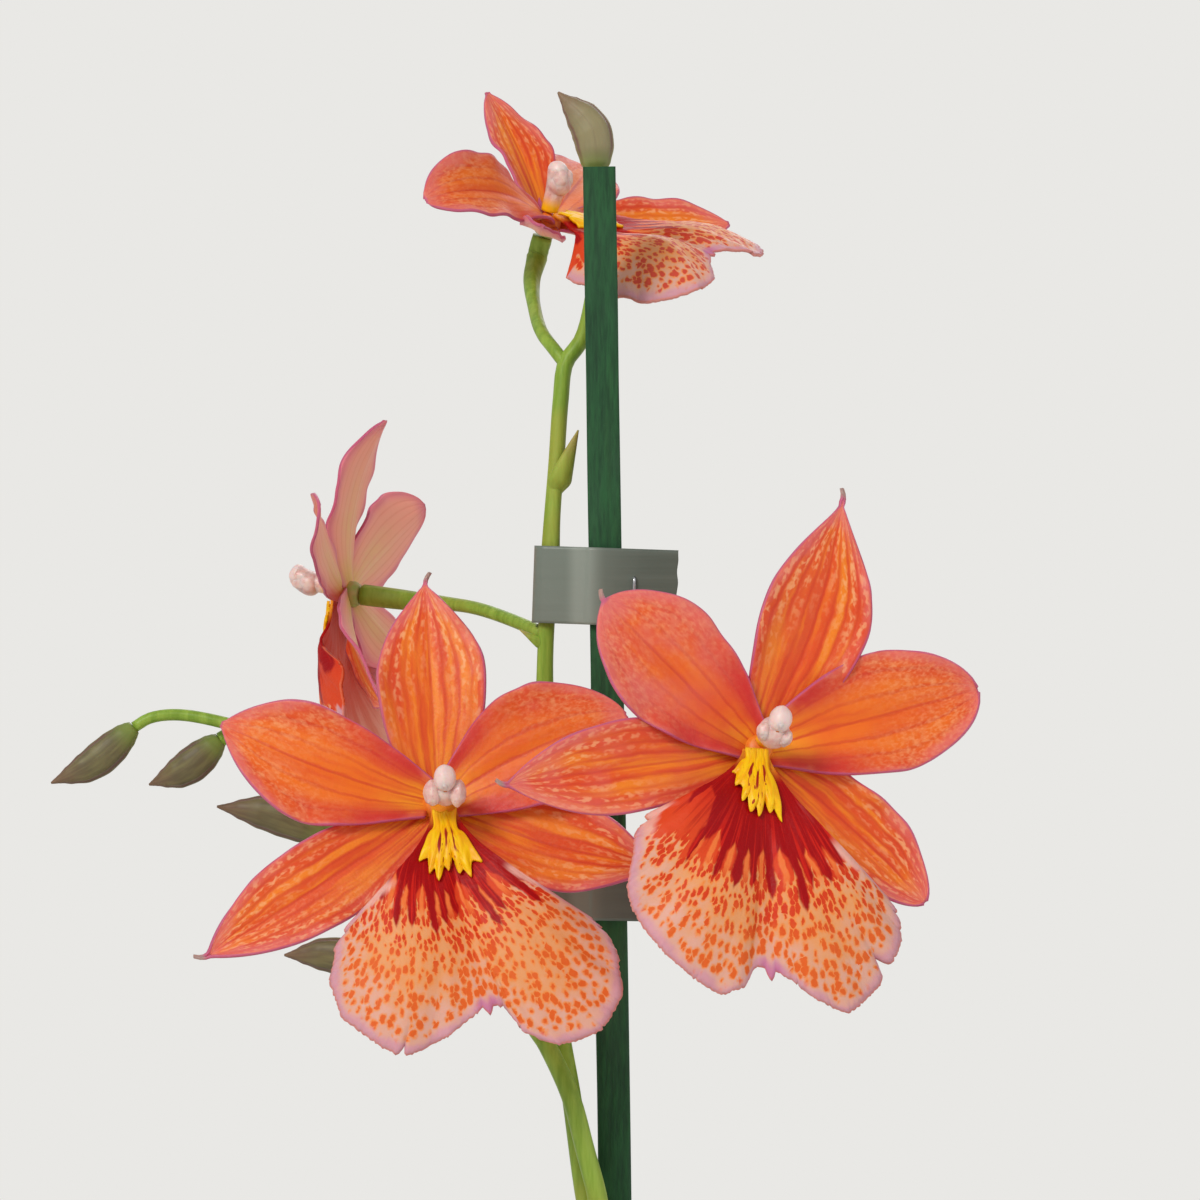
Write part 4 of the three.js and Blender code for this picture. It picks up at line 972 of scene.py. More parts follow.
def makeCallus(bloom, number):
    # a waxy plate on the lip's neck, torn into short flat fingers at its end
    own, size = bloom["lip"], {**callusSize, **bloom.get("callus", {})}
    bm, place = blank("place")
    matrix = bloomMatrix(bloom, bloom["scale"])

    def put(vert, across, along):
        bent = across + 0.06 * wobble(across * 3, number, 8)
        finger = 1 - abs(math.sin(math.pi / 2 * size["fingers"] * bent)) ** 1.6
        torn = wobble(across * 3.2, number * 2.0, 0)
        torn += 0.4 * wobble(across * 9, number, 5)
        reach = size["end"] * (1 + size["sides"] * across**4)
        reach += size["finger"] * (finger * (1 + 0.9 * torn) + 0.4 * torn)
        down = blend(size["top"], reach, along)
        spread = across * blend(*size["share"], along) * (1 - size["waist"] * swelling(along, 0.28, 0.16))
        spread += size["side"] * along
        point = lipPoint(own, down, limited(spread, -0.97, 0.97))[0]
        sides = 1 - abs(across) ** 5
        part = limited((down - size["top"]) / (size["end"] + size["finger"] - size["top"]))
        ridge = size["height"] * math.sin(math.pi * (0.14 + 0.72 * part)) * (0.35 + 0.65 * sides)
        ridge += size["ridge"] * finger * eased(part, 0.6, 0.9)
        ridge += size["lump"] * wobble(across * 5, along * 6, number)
        vert[place] = (across, along, number * 1.3)
        point.z += lipSize["thickness"] / 2 + size["base"] + ridge - 0.4 * eased(along, 0.8, 1)
        return matrix @ point

    sheet(bm, size["across"], size["along"], put)
    finishPiece(
        bm, f"bloom{number}Callus", [f"bloom_{number}_callus"], ["callus"] * 2,
        thickness=size["thickness"],
    )


columnSize = {
    "length": 9, "halfWidth": 1.35, "halfDepth": 1.25, "lean": 15, "foot": (0, 1), "rest": 2.4,
    "cap": (1.6, 1.9, 1.7), "wing": (1.25, 1.9, 1.5), "wingOut": 1.75, "wingDown": 1.75, "wingAt": 6.2,
    "hood": (2.3, 2.2, 2.3), "capAt": 7.7, "stigma": 0.36, "knob": (0.75, 0.8, 0.9),
    "beak": (0.5, 0.45, 0.55), "smooth": 0.06, "lumpy": 0.16, "lumpier": 0.2, "yellowTo": 6,
}


def makeColumn(bloom, number):
    # a body, two wings, a hood over the stigma and the cap at its end
    size = {**columnSize, **bloom.get("column", {})}
    bm, zone = blank("zone")
    foot = Vector((*size["foot"], size["rest"]))
    axis = Vector((0, math.sin(math.radians(size["lean"])), math.cos(math.radians(size["lean"]))))
    up = axis.cross(Vector((1, 0, 0))).normalized()
    upright = Matrix.Translation(foot) @ Matrix((
        (1, up.x, axis.x, 0), (0, up.y, axis.y, 0), (0, up.z, axis.z, 0), (0, 0, 0, 1),
    ))

    def lump(centre, radii, cap=0.0, stigma=0.0, rough=0.1):
        bmesh.ops.create_uvsphere(bm, u_segments=28, v_segments=18, radius=1)
        for vert in freshVerts(bm):
            bump = 1 + rough * noise.noise(vert.co * 1.7 + Vector(centre))
            own = Vector([c * r * bump for c, r in zip(vert.co, radii)]) + Vector(centre)
            vert[zone] = (cap, stigma, limited(own.z / size["yellowTo"]))
            vert.co = upright @ own

    def radiusAt(share, angle):
        return size["halfWidth"] * blend(0.85, 1.05, share), size["halfDepth"] * blend(0.85, 1, share)

    def mark(vert, share, angle):
        vert[zone] = (0, 0, share)

    path = pathThrough([(0, 0, 0), (0, -0.25, size["length"] * 0.45), (0, 0, size["length"] * 0.86)])
    body = rod(bm, path, radiusAt, 18, 24, mark=mark)
    bmesh.ops.transform(bm, matrix=upright, verts=body)
    out, down, at = size["wingOut"], size["wingDown"], size["wingAt"]
    for side in (-1, 1):
        lump((side * out, -down, at), size["wing"], rough=size["lumpy"])
        lump((side * out * 0.95, -down - 0.5, at - 0.1), size["knob"], rough=size["lumpier"])
    lump((0, -down * 0.6, at - 0.95), size["hood"], rough=size["smooth"])
    lump((0, 0, size["capAt"]), size["cap"], cap=1.0, rough=size["smooth"])
    lump((0, -1.3, size["capAt"] + 0.7), size["beak"], cap=1.0)
    lump((0.05, -down + 0.1, at + 1.2), (size["stigma"], 0.3, size["stigma"]), stigma=1.0)
    bmesh.ops.transform(bm, matrix=bloomMatrix(bloom, bloom["scale"]), verts=bm.verts)
    finishPiece(bm, f"bloom{number}Column", [f"bloom_{number}_column"], ["column"])


hubSize = {"radius": 2.3, "back": 2.2, "front": 2.1, "boss": 1.9}


def makeHub(bloom, number):
    # the seat where the blades, the lip and the column meet the stalk
    bm, along = blank("along")
    back, front, radius, boss = [hubSize[key] for key in ("back", "front", "radius", "boss")]
    profile = [
        (0.7, -back), (1.7, -back * 0.95), (radius, -0.9), (radius, 0.4), (boss, 1.5), (boss * 0.8, front),
    ]
    table = [((z + back) / (back + front), r) for r, z in profile]
    path = pathThrough([(0, 0, -back), (0, 0, front)])
    rod(bm, path, lambda share, angle: fromTable(table, share), 14, 32, mark=marker(along, 0.75))
    bmesh.ops.transform(bm, matrix=bloomMatrix(bloom, bloom["scale"]), verts=bm.verts)
    finishPiece(bm, f"bloom{number}Seat", [f"bloom_{number}_tepals"], ["seat"])


for number, bloom in enumerate(blooms, 1):
    for make in (makeTepals, makeLip, makeCallus, makeColumn, makeHub):
        make(bloom, number)
    print("bloom", number, "made")


# Spike: stem, side branch, stalks and bracts in one piece

spike = {
    "stem": [
        (27, 3, 86), (25.5, 1, 135), (22, -4, 200), (15, -9, 280), (6, -11, 348), (0.8, -10.6, 379),
        (-2, -9.5, 392.3), (-4.1, -8, 407.2), (-5.6, -6, 416), (-7, -4, 428.2), (-7.4, -3, 437.5),
        (-7.7, -2.5, 451.7), (-7.9, -2.1, 465.9), (-7.6, -2, 475), (-7.2, -2, 481), (-6.8, -1.8, 489.1),
        (-6.2, -1.2, 497), (-5.6, -0.5, 505.9), (-4.9, 0, 511.3), (-2.6, 0.1, 514.6),
        (-1.1, -0.1, 520.3), (-0.2, -0.2, 529), (0, -0.2, 536), (-0.5, -0.2, 538.2),
    ],
    "branch": [
        (0.8, -10.6, 379), (0.4, -11.8, 386), (-0.3, -12.6, 392.5), (-2.1, -13, 399.6),
        (-4.2, -13, 407.3), (-8.2, -11.5, 415.7), (-12.8, -9, 423.5), (-18.5, -5, 434.7),
        (-25.7, -2, 444.5), (-35.8, 0, 452.3), (-44.4, 1, 456.6), (-53.6, 2, 459.7),
        (-60.7, 3, 460.9), (-64.6, 3, 460.4), (-66.8, 3, 459.1),
    ],
    "radii": (2.3, 1.15), "thinning": (0.35, 0.85), "joints": [0.24, 0.44, 0.635, 0.82, 0.868],
    "ring": (0.2, 0.004), "flare": (0.22, 0.012), "flareAbove": 0.006, "uneven": 0.03,
    "branchRadii": (1.5, 0.8), "branchJoints": [0.33, 0.52, 0.72], "branchRing": (0.28, 0.012),
    "stalkRadius": 0.95, "stalkFlare": 0.55, "stalkLength": 7.5,
    "budStalkRadius": 0.85, "budStalkFlare": 0.25,
    "bracts": [
        {"foot": (-6.1, -1.8, 493.5), "tip": (-3.1, -2.8, 501.6), "radius": 1.9},
        {"foot": (-8.2, -2.2, 471), "tip": (-11.6, -2.6, 473.2), "radius": 0.9},
        {"foot": (1.2, -11.2, 377), "tip": (3.6, -14, 384), "radius": 1.3},
        {"foot": (21, -5, 205), "tip": (25, -8, 218), "radius": 1.6},
        {"foot": (13, -10, 292), "tip": (9.6, -13, 303), "radius": 1.5},
    ],
}
buds = [
    {"foot": (-66.8, 3, 459.1), "tip": (-78.7, 3, 451.1), "radius": 2.5, "belly": (0, 0, -1.2)},
    {"foot": (-54.5, 5, 457.3), "tip": (-64.8, 5.5, 450.8), "radius": 2.6, "belly": (0, 0, -1),
     "from": (-47.5, 1.4, 457.8)},
    {"foot": (-38.4, 8, 443.2), "tip": (-55.2, 8.5, 447.6), "radius": 2.8, "belly": (0, 0, 1),
     "from": (-30.5, -1, 448.6)},
    {"foot": (-31.2, 5, 424.4), "tip": (-45.4, 6, 426.3), "radius": 2.7, "belly": (0, 0, 1),
     "from": (-19.5, -4.4, 436.2)},
    {"foot": (-0.5, -0.2, 538.2), "tip": (-6, 0.4, 550), "radius": 2.9, "belly": (2, 0, 0.4)},
]
seatGap = 0.3


def makeSpike():
    bm, layer = blank("along")
    green = marker(layer, 0)

    def swellings(share, joints, height, spread):
        return height * sum(swelling(share, at, spread) for at in joints)

    def stemRadius(share, angle):
        base = blend(*spike["radii"], eased(share, *spike["thinning"]))
        base *= 1 + spike["uneven"] * math.sin(3 * angle + share * 40)
        ring = swellings(share, spike["joints"], *spike["ring"])
        return base + ring + swellings(share - spike["flareAbove"], spike["joints"], *spike["flare"])

    def branchRadius(share, angle):
        ring = swellings(share, spike["branchJoints"], *spike["branchRing"])
        return blend(*spike["branchRadii"], share) + ring

    def stalkRadius(share, angle):
        ribs = 1 + 0.05 * math.sin(6 * angle) * eased(share, 0.4, 0.8)
        return (spike["stalkRadius"] + spike["stalkFlare"] * eased(share, 0.5, 0.95)) * ribs

    def budStalkRadius(share, angle):
        return spike["budStalkRadius"] + spike["budStalkFlare"] * eased(share, 0.7, 1)

    rod(bm, pathThrough(spike["stem"]), stemRadius, 320, 22, mark=green)
    rod(bm, pathThrough(spike["branch"]), branchRadius, 140, 18, side=(0, 1, 0), mark=green)
    for bloom in blooms:
        matrix = bloomMatrix(bloom)
        back = hubSize["back"] * bloom["scale"] + seatGap * 0.4
        foot = matrix @ Vector((0, 0, -back))
        behind = matrix @ Vector((0, -0.6, -back - bloom.get("stalk", spike["stalkLength"])))
        path = pathThrough([bloom["from"], *bloom.get("via", []), behind, foot])
        rod(bm, path, stalkRadius, 60, 18, side=(0, 0, 1), mark=green)
    for bud in buds:
        if "from" in bud:
            foot, tip = Vector(bud["foot"]), Vector(bud["tip"])
            back = (foot - tip).normalized()
            path = pathThrough([bud["from"], foot + back * 2.5, foot])
            rod(bm, path, budStalkRadius, 30, 16, side=(0, 1, 0), mark=green)
    drying = marker(layer, lambda share: eased(share, 0.3, 1))
    for bract in spike["bracts"]:
        foot, tip = Vector(bract["foot"]), Vector(bract["tip"])
        bow = Vector((0, -0.5, 0)) + (tip - foot) * 0.5 + foot
        radius = bract["radius"]

        def flat(share, angle):
            taper = (1 - 0.95 * share**1.1) * blend(0.5, 1.15, eased(share, 0, 0.25))
            return radius * taper, radius * 0.62 * taper

        path = pathThrough([foot - (tip - foot) * 0.12, bow, tip])
        rod(bm, path, flat, 24, 18, side=(1, 0.3, 0), mark=drying)
    finishPiece(bm, "flowerSpike", ["spike"], ["stem"])


budShape = {
    "profile": [(0, 0.42), (0.05, 0.58), (0.12, 0.75), (0.28, 0.95), (0.45, 1), (0.64, 0.86), (0.8, 0.54),
                (0.9, 0.27), (0.95, 0.16), (1, 0.06)],
    "lobes": 0.045, "seam": 0.05, "seamWidth": 0.16, "along": 48, "around": 60,
}


def makeBud(bud, number):
    bm, layer = blank("along")
    foot, tip = Vector(bud["foot"]), Vector(bud["tip"])
    start = foot + (tip - foot).normalized() * seatGap * 0.1
    middle = start + (tip - foot) * 0.5 + Vector(bud["belly"])

    def radiusAt(share, angle):
        lobes = 1 + budShape["lobes"] * math.cos(3 * angle + 0.4) * math.sin(math.pi * share)
        seam = swelling(math.sin(1.5 * angle), 0, budShape["seamWidth"]) * eased(share, 0.05, 0.3)
        return bud["radius"] * fromTable(budShape["profile"], share) * lobes * (1 - budShape["seam"] * seam)

    path = pathThrough([start, middle, tip])
    rod(bm, path, radiusAt, budShape["along"], budShape["around"], side=(0, 1, 0), mark=marker(layer, number))
    finishPiece(bm, f"bud{number}", [f"bud_{number}"], ["bud"])


makeSpike()
for number, bud in enumerate(buds, 1):
    makeBud(bud, number)
print("spike and buds made")


# Stake: split wood, hardly out of true, with a sawn top

stake = {
    "width": 4.7, "depth": 4.2, "edge": 0.45, "foot": (7.6, -4, 30), "top": (-0.1, -4, 539), "steps": 170,
    "wear": 0.05,
}


def stakeAt(z):
    foot, top = Vector(stake["foot"]), Vector(stake["top"])
    return foot.lerp(top, (z - foot.z) / (top.z - foot.z))


def makeStake():
    bm = bmesh.new()
    bmesh.ops.create_cube(bm, size=1)
    bmesh.ops.scale(bm, vec=(stake["width"], stake["depth"], 1), verts=bm.verts)
    bmesh.ops.bevel(
        bm, geom=uprights(bm.edges), offset=stake["edge"], segments=3, affect="EDGES", profile=0.5,
        material=-1,
    )
    bmesh.ops.subdivide_edges(bm, edges=uprights(bm.edges), cuts=stake["steps"])
    foot, top = Vector(stake["foot"]), Vector(stake["top"])
    length = (top - foot).length
    turn = Vector((0, 0, 1)).rotation_difference(top - foot).to_matrix()
    for vert in bm.verts:
        x, y, z = vert.co.x, vert.co.y, (vert.co.z + 0.5) * length
        wear = stake["wear"] * wobble(x * 0.6, y * 0.6, z * 0.05)
        vert.co = foot + turn @ Vector((x * (1 + wear * 0.6), y * (1 + wear), z))
    finishPiece(bm, "splitStake", ["stake"], ["stake"], sharp=40)


makeStake()


# Ties: a strip of tape round stem and stake, its two ends laid together and stapled

tape = {
    "height": 11, "thickness": 0.6, "clearance": 0.55, "layerGap": 0.25, "show": 0.42, "ragged": 0.22,
    "trimmed": 0.12, "slack": 0.08, "roundFrom": 255, "roundBy": 160, "roundSteps": 12, "across": 24,
    "along": 260,
}
ties = [
    {"name": "upper", "z": 479.3, "stem": (-7.3, -2), "stemRadius": 1.2, "tail": 11.1, "tilt": 2,
     "staple": 4.85, "stapleDrop": 1},
    {"name": "lower", "z": 437.3, "stem": (-7.4, -3), "stemRadius": 1.5, "tail": 9, "tilt": 1,
     "staple": 5.6, "stapleDrop": 0},
]
wire = {"size": 0.5, "crown": 4.6, "fold": 1.5, "clear": 0.09}


def makeTie(tie):
    centre = stakeAt(tie["z"])
    off = tape["clearance"] + tape["thickness"] / 2
    right = centre.x + stake["width"] / 2 + off
    left = centre.x - stake["width"] / 2 - off
    front = centre.y - stake["depth"] / 2 - off
    back = centre.y + stake["depth"] / 2 + off
    bend = tie["stemRadius"] + off
    layer = tape["thickness"] + tape["layerGap"]
    around = []
    for step in range(tape["roundSteps"] + 1):
        angle = math.radians(tape["roundFrom"] - tape["roundBy"] * step / tape["roundSteps"])
        around.append((tie["stem"][0] + bend * math.cos(angle), tie["stem"][1] + bend * math.sin(angle)))
    line = [
        (tie["tail"], front), (blend(tie["tail"], left, 0.5), front), (left + 1, front),
        (left + 0.2, front + 0.5), *around, (blend(around[-1][0], right, 0.5), back), (right - 1.2, back),
        (right - 0.2, back - 0.6), (right, back - 1.6), (right, front + layer + 0.6),
        (right + 0.4, front + layer), (tie["tail"] - 0.6, front + layer),
    ]
    path = pathThrough([(x, y, 0) for x, y in line])
    tilt = Matrix.Translation((0, 0, tie["z"])) @ Matrix.Rotation(math.radians(tie["tilt"]), 4, "Y")
    bm = bmesh.new()

    def put(vert, across, along):
        point = path(along)[0]
        torn = tape["ragged"] * wobble(across * 2.6, tie["z"], 0) - tape["trimmed"]
        point.x += torn * (eased(along, 0.015, 0.0) + eased(along, 0.985, 1.0))
        point.y += tape["slack"] * wobble(point.x * 0.4, across, tie["z"]) \
            * (1 - eased(abs(point.x - tie["staple"]), 0, 3))
        point.z = across * tape["height"] / 2
        return tilt @ point

    sheet(bm, tape["across"], tape["along"], put)
    finishPiece(bm, f"tape_{tie['name']}", [f"tie_{tie['name']}"], ["tape"] * 2, tape["show"])

    clear = tape["thickness"] / 2 + wire["clear"] + wire["size"] / 2
    crown, clench = front - clear, front + layer + clear
    half = wire["crown"] / 2
    bent = [
        (clench, half - wire["fold"]), (clench + 0.15, half - 0.5), (clench - 0.1, half), (crown + 0.2, half),
        (crown, half - 0.25), (crown, 0), (crown, -half + 0.25), (crown + 0.2, -half), (clench - 0.1, -half),
        (clench + 0.15, -half + 0.5), (clench, -half + wire["fold"]),
    ]
    path = pathThrough([tilt @ Vector((tie["staple"], y, z - tie["stapleDrop"])) for y, z in bent])
    bm = bmesh.new()
    rod(bm, path, lambda share, angle: wire["size"] / 2, 120, 12)
    finishPiece(bm, f"wireStaple_{tie['name']}", [f"staple_{tie['name']}"], ["wire"], sharp=50)


for tie in ties:
    makeTie(tie)
print("stake, ties and staples made")


# Pot: a spun shell with a rim, a moulded step and holes in its floor

pot = {
    "height": 112, "topRadius": 60, "baseRadius": 44, "wall": 2.2, "floor": 3, "rimHeight": 12, "rimOut": 2,
    "steps": 120, "holes": 5, "holeRadius": 5, "holeRing": 25, "holeSteps": 24,
}


def potRadius(z):
    return blend(pot["baseRadius"], pot["topRadius"], z / pot["height"])


def makePot():
    bm = bmesh.new()
    base, top, rim, wall, high, floor = [
        pot[key] for key in ("baseRadius", "topRadius", "rimOut", "wall", "height", "floor")
    ]
    step = high - pot["rimHeight"]
    under = potRadius(step)
    profile = [
        (base - 2, 0), (base - 0.9, 0.25), (base - 0.2, 0.9), (base, 2),
        *[(potRadius(z), z) for z in (20, 40, 60, 80)], (under - 0.1, step - 0.6), (under + 0.3, step),
        (under + rim - 0.4, step + 0.7), (under + rim, step + 1.4), (top + rim, high - 2),
        (top + rim - 0.3, high - 0.9), (top + rim - 1.1, high - 0.1), (top - wall + 1.1, high),
        (top - wall + 0.3, high - 0.4), (top - wall, high - 1.4), (potRadius(60) - wall, 60),
        (potRadius(floor) - wall, floor),
    ]
    verts = [bm.verts.new((radius, 0, z)) for radius, z in profile]
    edges = [bm.edges.new(pair) for pair in zip(verts, verts[1:])]
    bmesh.ops.spin(
        bm, geom=verts + edges, cent=(0, 0, 0), axis=(0, 0, 1), angle=math.tau, steps=pot["steps"],
        use_merge=True, use_duplicate=False,
    )
    plates = []
    for radius, z in (profile[0], profile[-1]):
        ring = bmesh.ops.create_circle(bm, segments=pot["steps"], radius=radius)["verts"]
        bmesh.ops.translate(bm, vec=(0, 0, z), verts=ring)
        holes = []
        for number in range(pot["holes"]):
            angle = math.tau * number / pot["holes"]
            hole = bmesh.ops.create_circle(bm, segments=pot["holeSteps"], radius=pot["holeRadius"])["verts"]
            bmesh.ops.translate(
                bm, vec=(pot["holeRing"] * math.cos(angle), pot["holeRing"] * math.sin(angle), z), verts=hole,
            )
            holes.append(edgesOf(hole))
        edges = edgesOf(ring) + [edge for hole in holes for edge in hole]
        bmesh.ops.triangle_fill(bm, edges=edges, use_beauty=True, use_dissolve=False)
        plates.append(holes)
    for below, above in zip(*plates):
        bmesh.ops.bridge_loops(bm, edges=below + above)
    bmesh.ops.remove_doubles(bm, verts=bm.verts, dist=0.01)
    bmesh.ops.recalc_face_normals(bm, faces=bm.faces)
    finishPiece(bm, "growingPot", ["pot"], ["pot"], sharp=40)


makePot()


# Pseudobulbs and leaves

bulbs = [
    {"at": (12, 15), "turn": 4, "scale": 1}, {"at": (-8, 39), "turn": 8, "scale": 0.86},
    {"at": (-10, -31), "turn": -6, "scale": 0.78},
]
bulbSize = {
    "height": 54, "halfWidth": 15, "halfDepth": 9, "soil": 98, "sunk": 12, "ridges": 7, "ridge": 0.03,
    "swell": [(0, 0.62), (0.2, 0.8), (0.45, 1), (0.7, 0.86), (0.9, 0.62), (1, 0.5)], "roundTop": 0.955,
    "flatTop": 0.3, "along": 60, "around": 84,
}
# wraps: the middle of each round the bulb, its reach to both sides and its height
sheathSize = {
    "thickness": 0.35, "off": 0.55, "further": 0.5, "flare": 1.3, "uneven": 0.35, "across": 26, "along": 34,
    "wraps": [(0, 1.35, 0.52), (math.pi, 1.2, 0.44)],
}


def makeBulb(bulb, number):
    size = bulbSize
    bm, layer = blank("along")
    x, y = bulb["at"]
    low = size["soil"] - size["sunk"]
    high = size["soil"] + size["height"] * bulb["scale"]
    turn = math.radians(bulb["turn"])
    side = (math.cos(turn), math.sin(turn), 0)
    path = pathThrough([(x, y, low), (x, y, high)])

    def radiusAt(share, angle):
        ridge = 1 + size["ridge"] * math.cos(size["ridges"] * angle)
        ridge += 0.018 * wobble(math.cos(angle) * 5, math.sin(angle) * 5, share * 2 + number)
        ridge += 0.008 * wobble(angle * 9, share * 3, number)
        swell = fromTable(size["swell"], share) * bulb["scale"] * ridge
        past = max(share - size["roundTop"], 0) / 0.047
        swell *= max(math.sqrt(limited(1 - past**2)), size["flatTop"])
        return size["halfWidth"] * swell, size["halfDepth"] * swell

    rod(bm, path, radiusAt, size["along"], size["around"], side=side, mark=marker(layer, number))
    finishPiece(bm, f"pseudobulb{number}", [f"pseudobulb_{number}"], ["bulb"])

    # dry sheaths that wrap the foot on both narrow sides
    bm, layer = blank("along")
    first = Vector(side)
    second = Vector((-side[1], side[0], 0))
    own = sheathSize
    for wrap, (centre, reach, tall) in enumerate(own["wraps"]):
        def put(vert, across, row):
            angle = centre + across * reach * (1 - 0.72 * row**2.2)
            share = size["sunk"] * 0.6 / (high - low) + row * tall
            wide, deep = radiusAt(min(share, 0.95), angle)
            off = own["off"] + own["further"] * wrap + own["flare"] * row**3
            off += own["uneven"] * wobble(across * 3, row * 4, number)
            vert[layer] = (row, angle, number)
            point = Vector((x, y, low + share * (high - low)))
            return point + first * math.cos(angle) * (wide + off) + second * math.sin(angle) * (deep + off)
        sheet(bm, own["across"], own["along"], put)
    finishPiece(
        bm, f"sheath{number}", [f"pseudobulb_{number}"], ["sheath"] * 2,
        thickness=own["thickness"],
    )


leafTraits = ("bulb", "foot", "side", "heading", "length", "width", "tilt", "droop")
leaves = [dict(zip(leafTraits, leaf)) for leaf in (
    (0, "top", 1, 2, 250, 29, 7, 74), (0, "top", -1, 178, 236, 28, 9, 84),
    (0, "soil", 1, 352, 190, 26, 24, 82), (0, "soil", -1, 187, 176, 25, 28, 74),
    (1, "top", 1, 52, 228, 27, 6, 70), (1, "top", -1, 136, 242, 28, 8, 90),
    (2, "top", 1, 312, 196, 26, 12, 86), (2, "top", -1, 226, 212, 26, 10, 78),
)]
leafBlade = {
    "thickness": 0.9, "show": 0.75, "footHalfWidth": 4.6, "apart": 5.2, "soilDepth": 6, "soilApart": 7.5,
    "sink": 2.5, "across": 22, "along": 90, "steps": 24, "curl": 1.4, "widest": 0.45, "point": 0.72,
    "edge": 0.5, "folds": (58, 17), "wave": 0.7, "uneven": 0.5, "rib": 0.35,
}


def leafFoot(leaf):
    bulb = bulbs[leaf["bulb"]]
    turn = math.radians(bulb["turn"])
    soil = leaf["foot"] == "soil"
    reach = bulbSize["halfWidth"] * bulb["scale"] + leafBlade["soilApart"] if soil else leafBlade["apart"]
    top = bulbSize["soil"] + bulbSize["height"] * bulb["scale"] + seatGap + leafBlade["thickness"] / 2
    z = bulbSize["soil"] - leafBlade["soilDepth"] if soil else top
    reach *= leaf["side"]
    return Vector((bulb["at"][0] + reach * math.cos(turn), bulb["at"][1] + reach * math.sin(turn), z))


def makeLeaf(leaf, number):
    size, half, steps = leafBlade, leaf["width"] / 2, leafBlade["steps"]
    heading = math.radians(leaf["heading"])
    out = Vector((math.cos(heading), math.sin(heading), 0))
    side = Vector((-out.y, out.x, 0))
    foot = leafFoot(leaf)
    spine = [foot - Vector((0, 0, size["sink"])), foot]
    for i in range(1, steps + 1):
        angle = math.radians(leaf["tilt"] + leaf["droop"] * ((i - 0.5) / steps) ** size["curl"])
        onward = out * math.sin(angle) + Vector((0, 0, math.cos(angle)))
        spine.append(spine[-1] + onward * leaf["length"] / steps)
    path = pathThrough(spine)
    bm, place, extent = blank("place", "size")

    def put(vert, across, along):
        if along < size["widest"]:
            width = blend(size["footHalfWidth"], half, eased(along, 0, size["widest"]))
        else:
            ahead = limited(1 - along) / (1 - size["widest"])
            width = max(size["edge"], half * math.sin(math.pi / 2 * ahead) ** size["point"])
        centre, direction = path(along)
        up = direction.cross(side)
        fold = math.radians(blend(*size["folds"], eased(along, 0, 0.5)))
        reach = width * across
        loose = wobble(across * 1.4, along * 5, number * 4.1)
        lift = size["wave"] * across**2 * math.sin(along * 11 + number) * eased(along, 0.15, 0.4)
        lift += size["uneven"] * loose * eased(along, 0.1, 0.4)
        lift -= size["rib"] * swelling(reach, 0, 0.8) * (1 - along)
        vert[place] = (across, along, number * 1.9)
        vert[extent] = (reach, along * leaf["length"], (1 - abs(across)) * width)
        lift += math.sqrt(reach**2 + 0.2) * math.sin(fold)
        return centre + side * reach * math.cos(fold) + up * lift

    sheet(bm, size["across"], size["along"], put)
    finishPiece(bm, f"leaf{number}", [f"leaf_{number}"], ["leaf"] * 2, thickness=size["show"])


for number, bulb in enumerate(bulbs, 1):
    makeBulb(bulb, number)
for number, leaf in enumerate(leaves, 1):
    makeLeaf(leaf, number)
print("pot, pseudobulbs and leaves made")


# Bark: a dark crumbly body with a loose layer of chips on top

bark = {
    "top": 98, "floor": 3.3, "crumbDrop": 5, "seed": 11, "chips": 190, "long": (9, 19), "thick": (3.2, 6),
    "low": 4, "high": 3.2, "shape": (0.45, 0.75), "tilt": 0.25, "roll": 0.3, "cornersOff": 0.22,
    "rough": 0.16, "room": {"bulb": 13, "stem": 5, "stake": 6, "leaf": 8}, "besideDrop": 3,
    "besideSize": (0.5, 0.6),
}


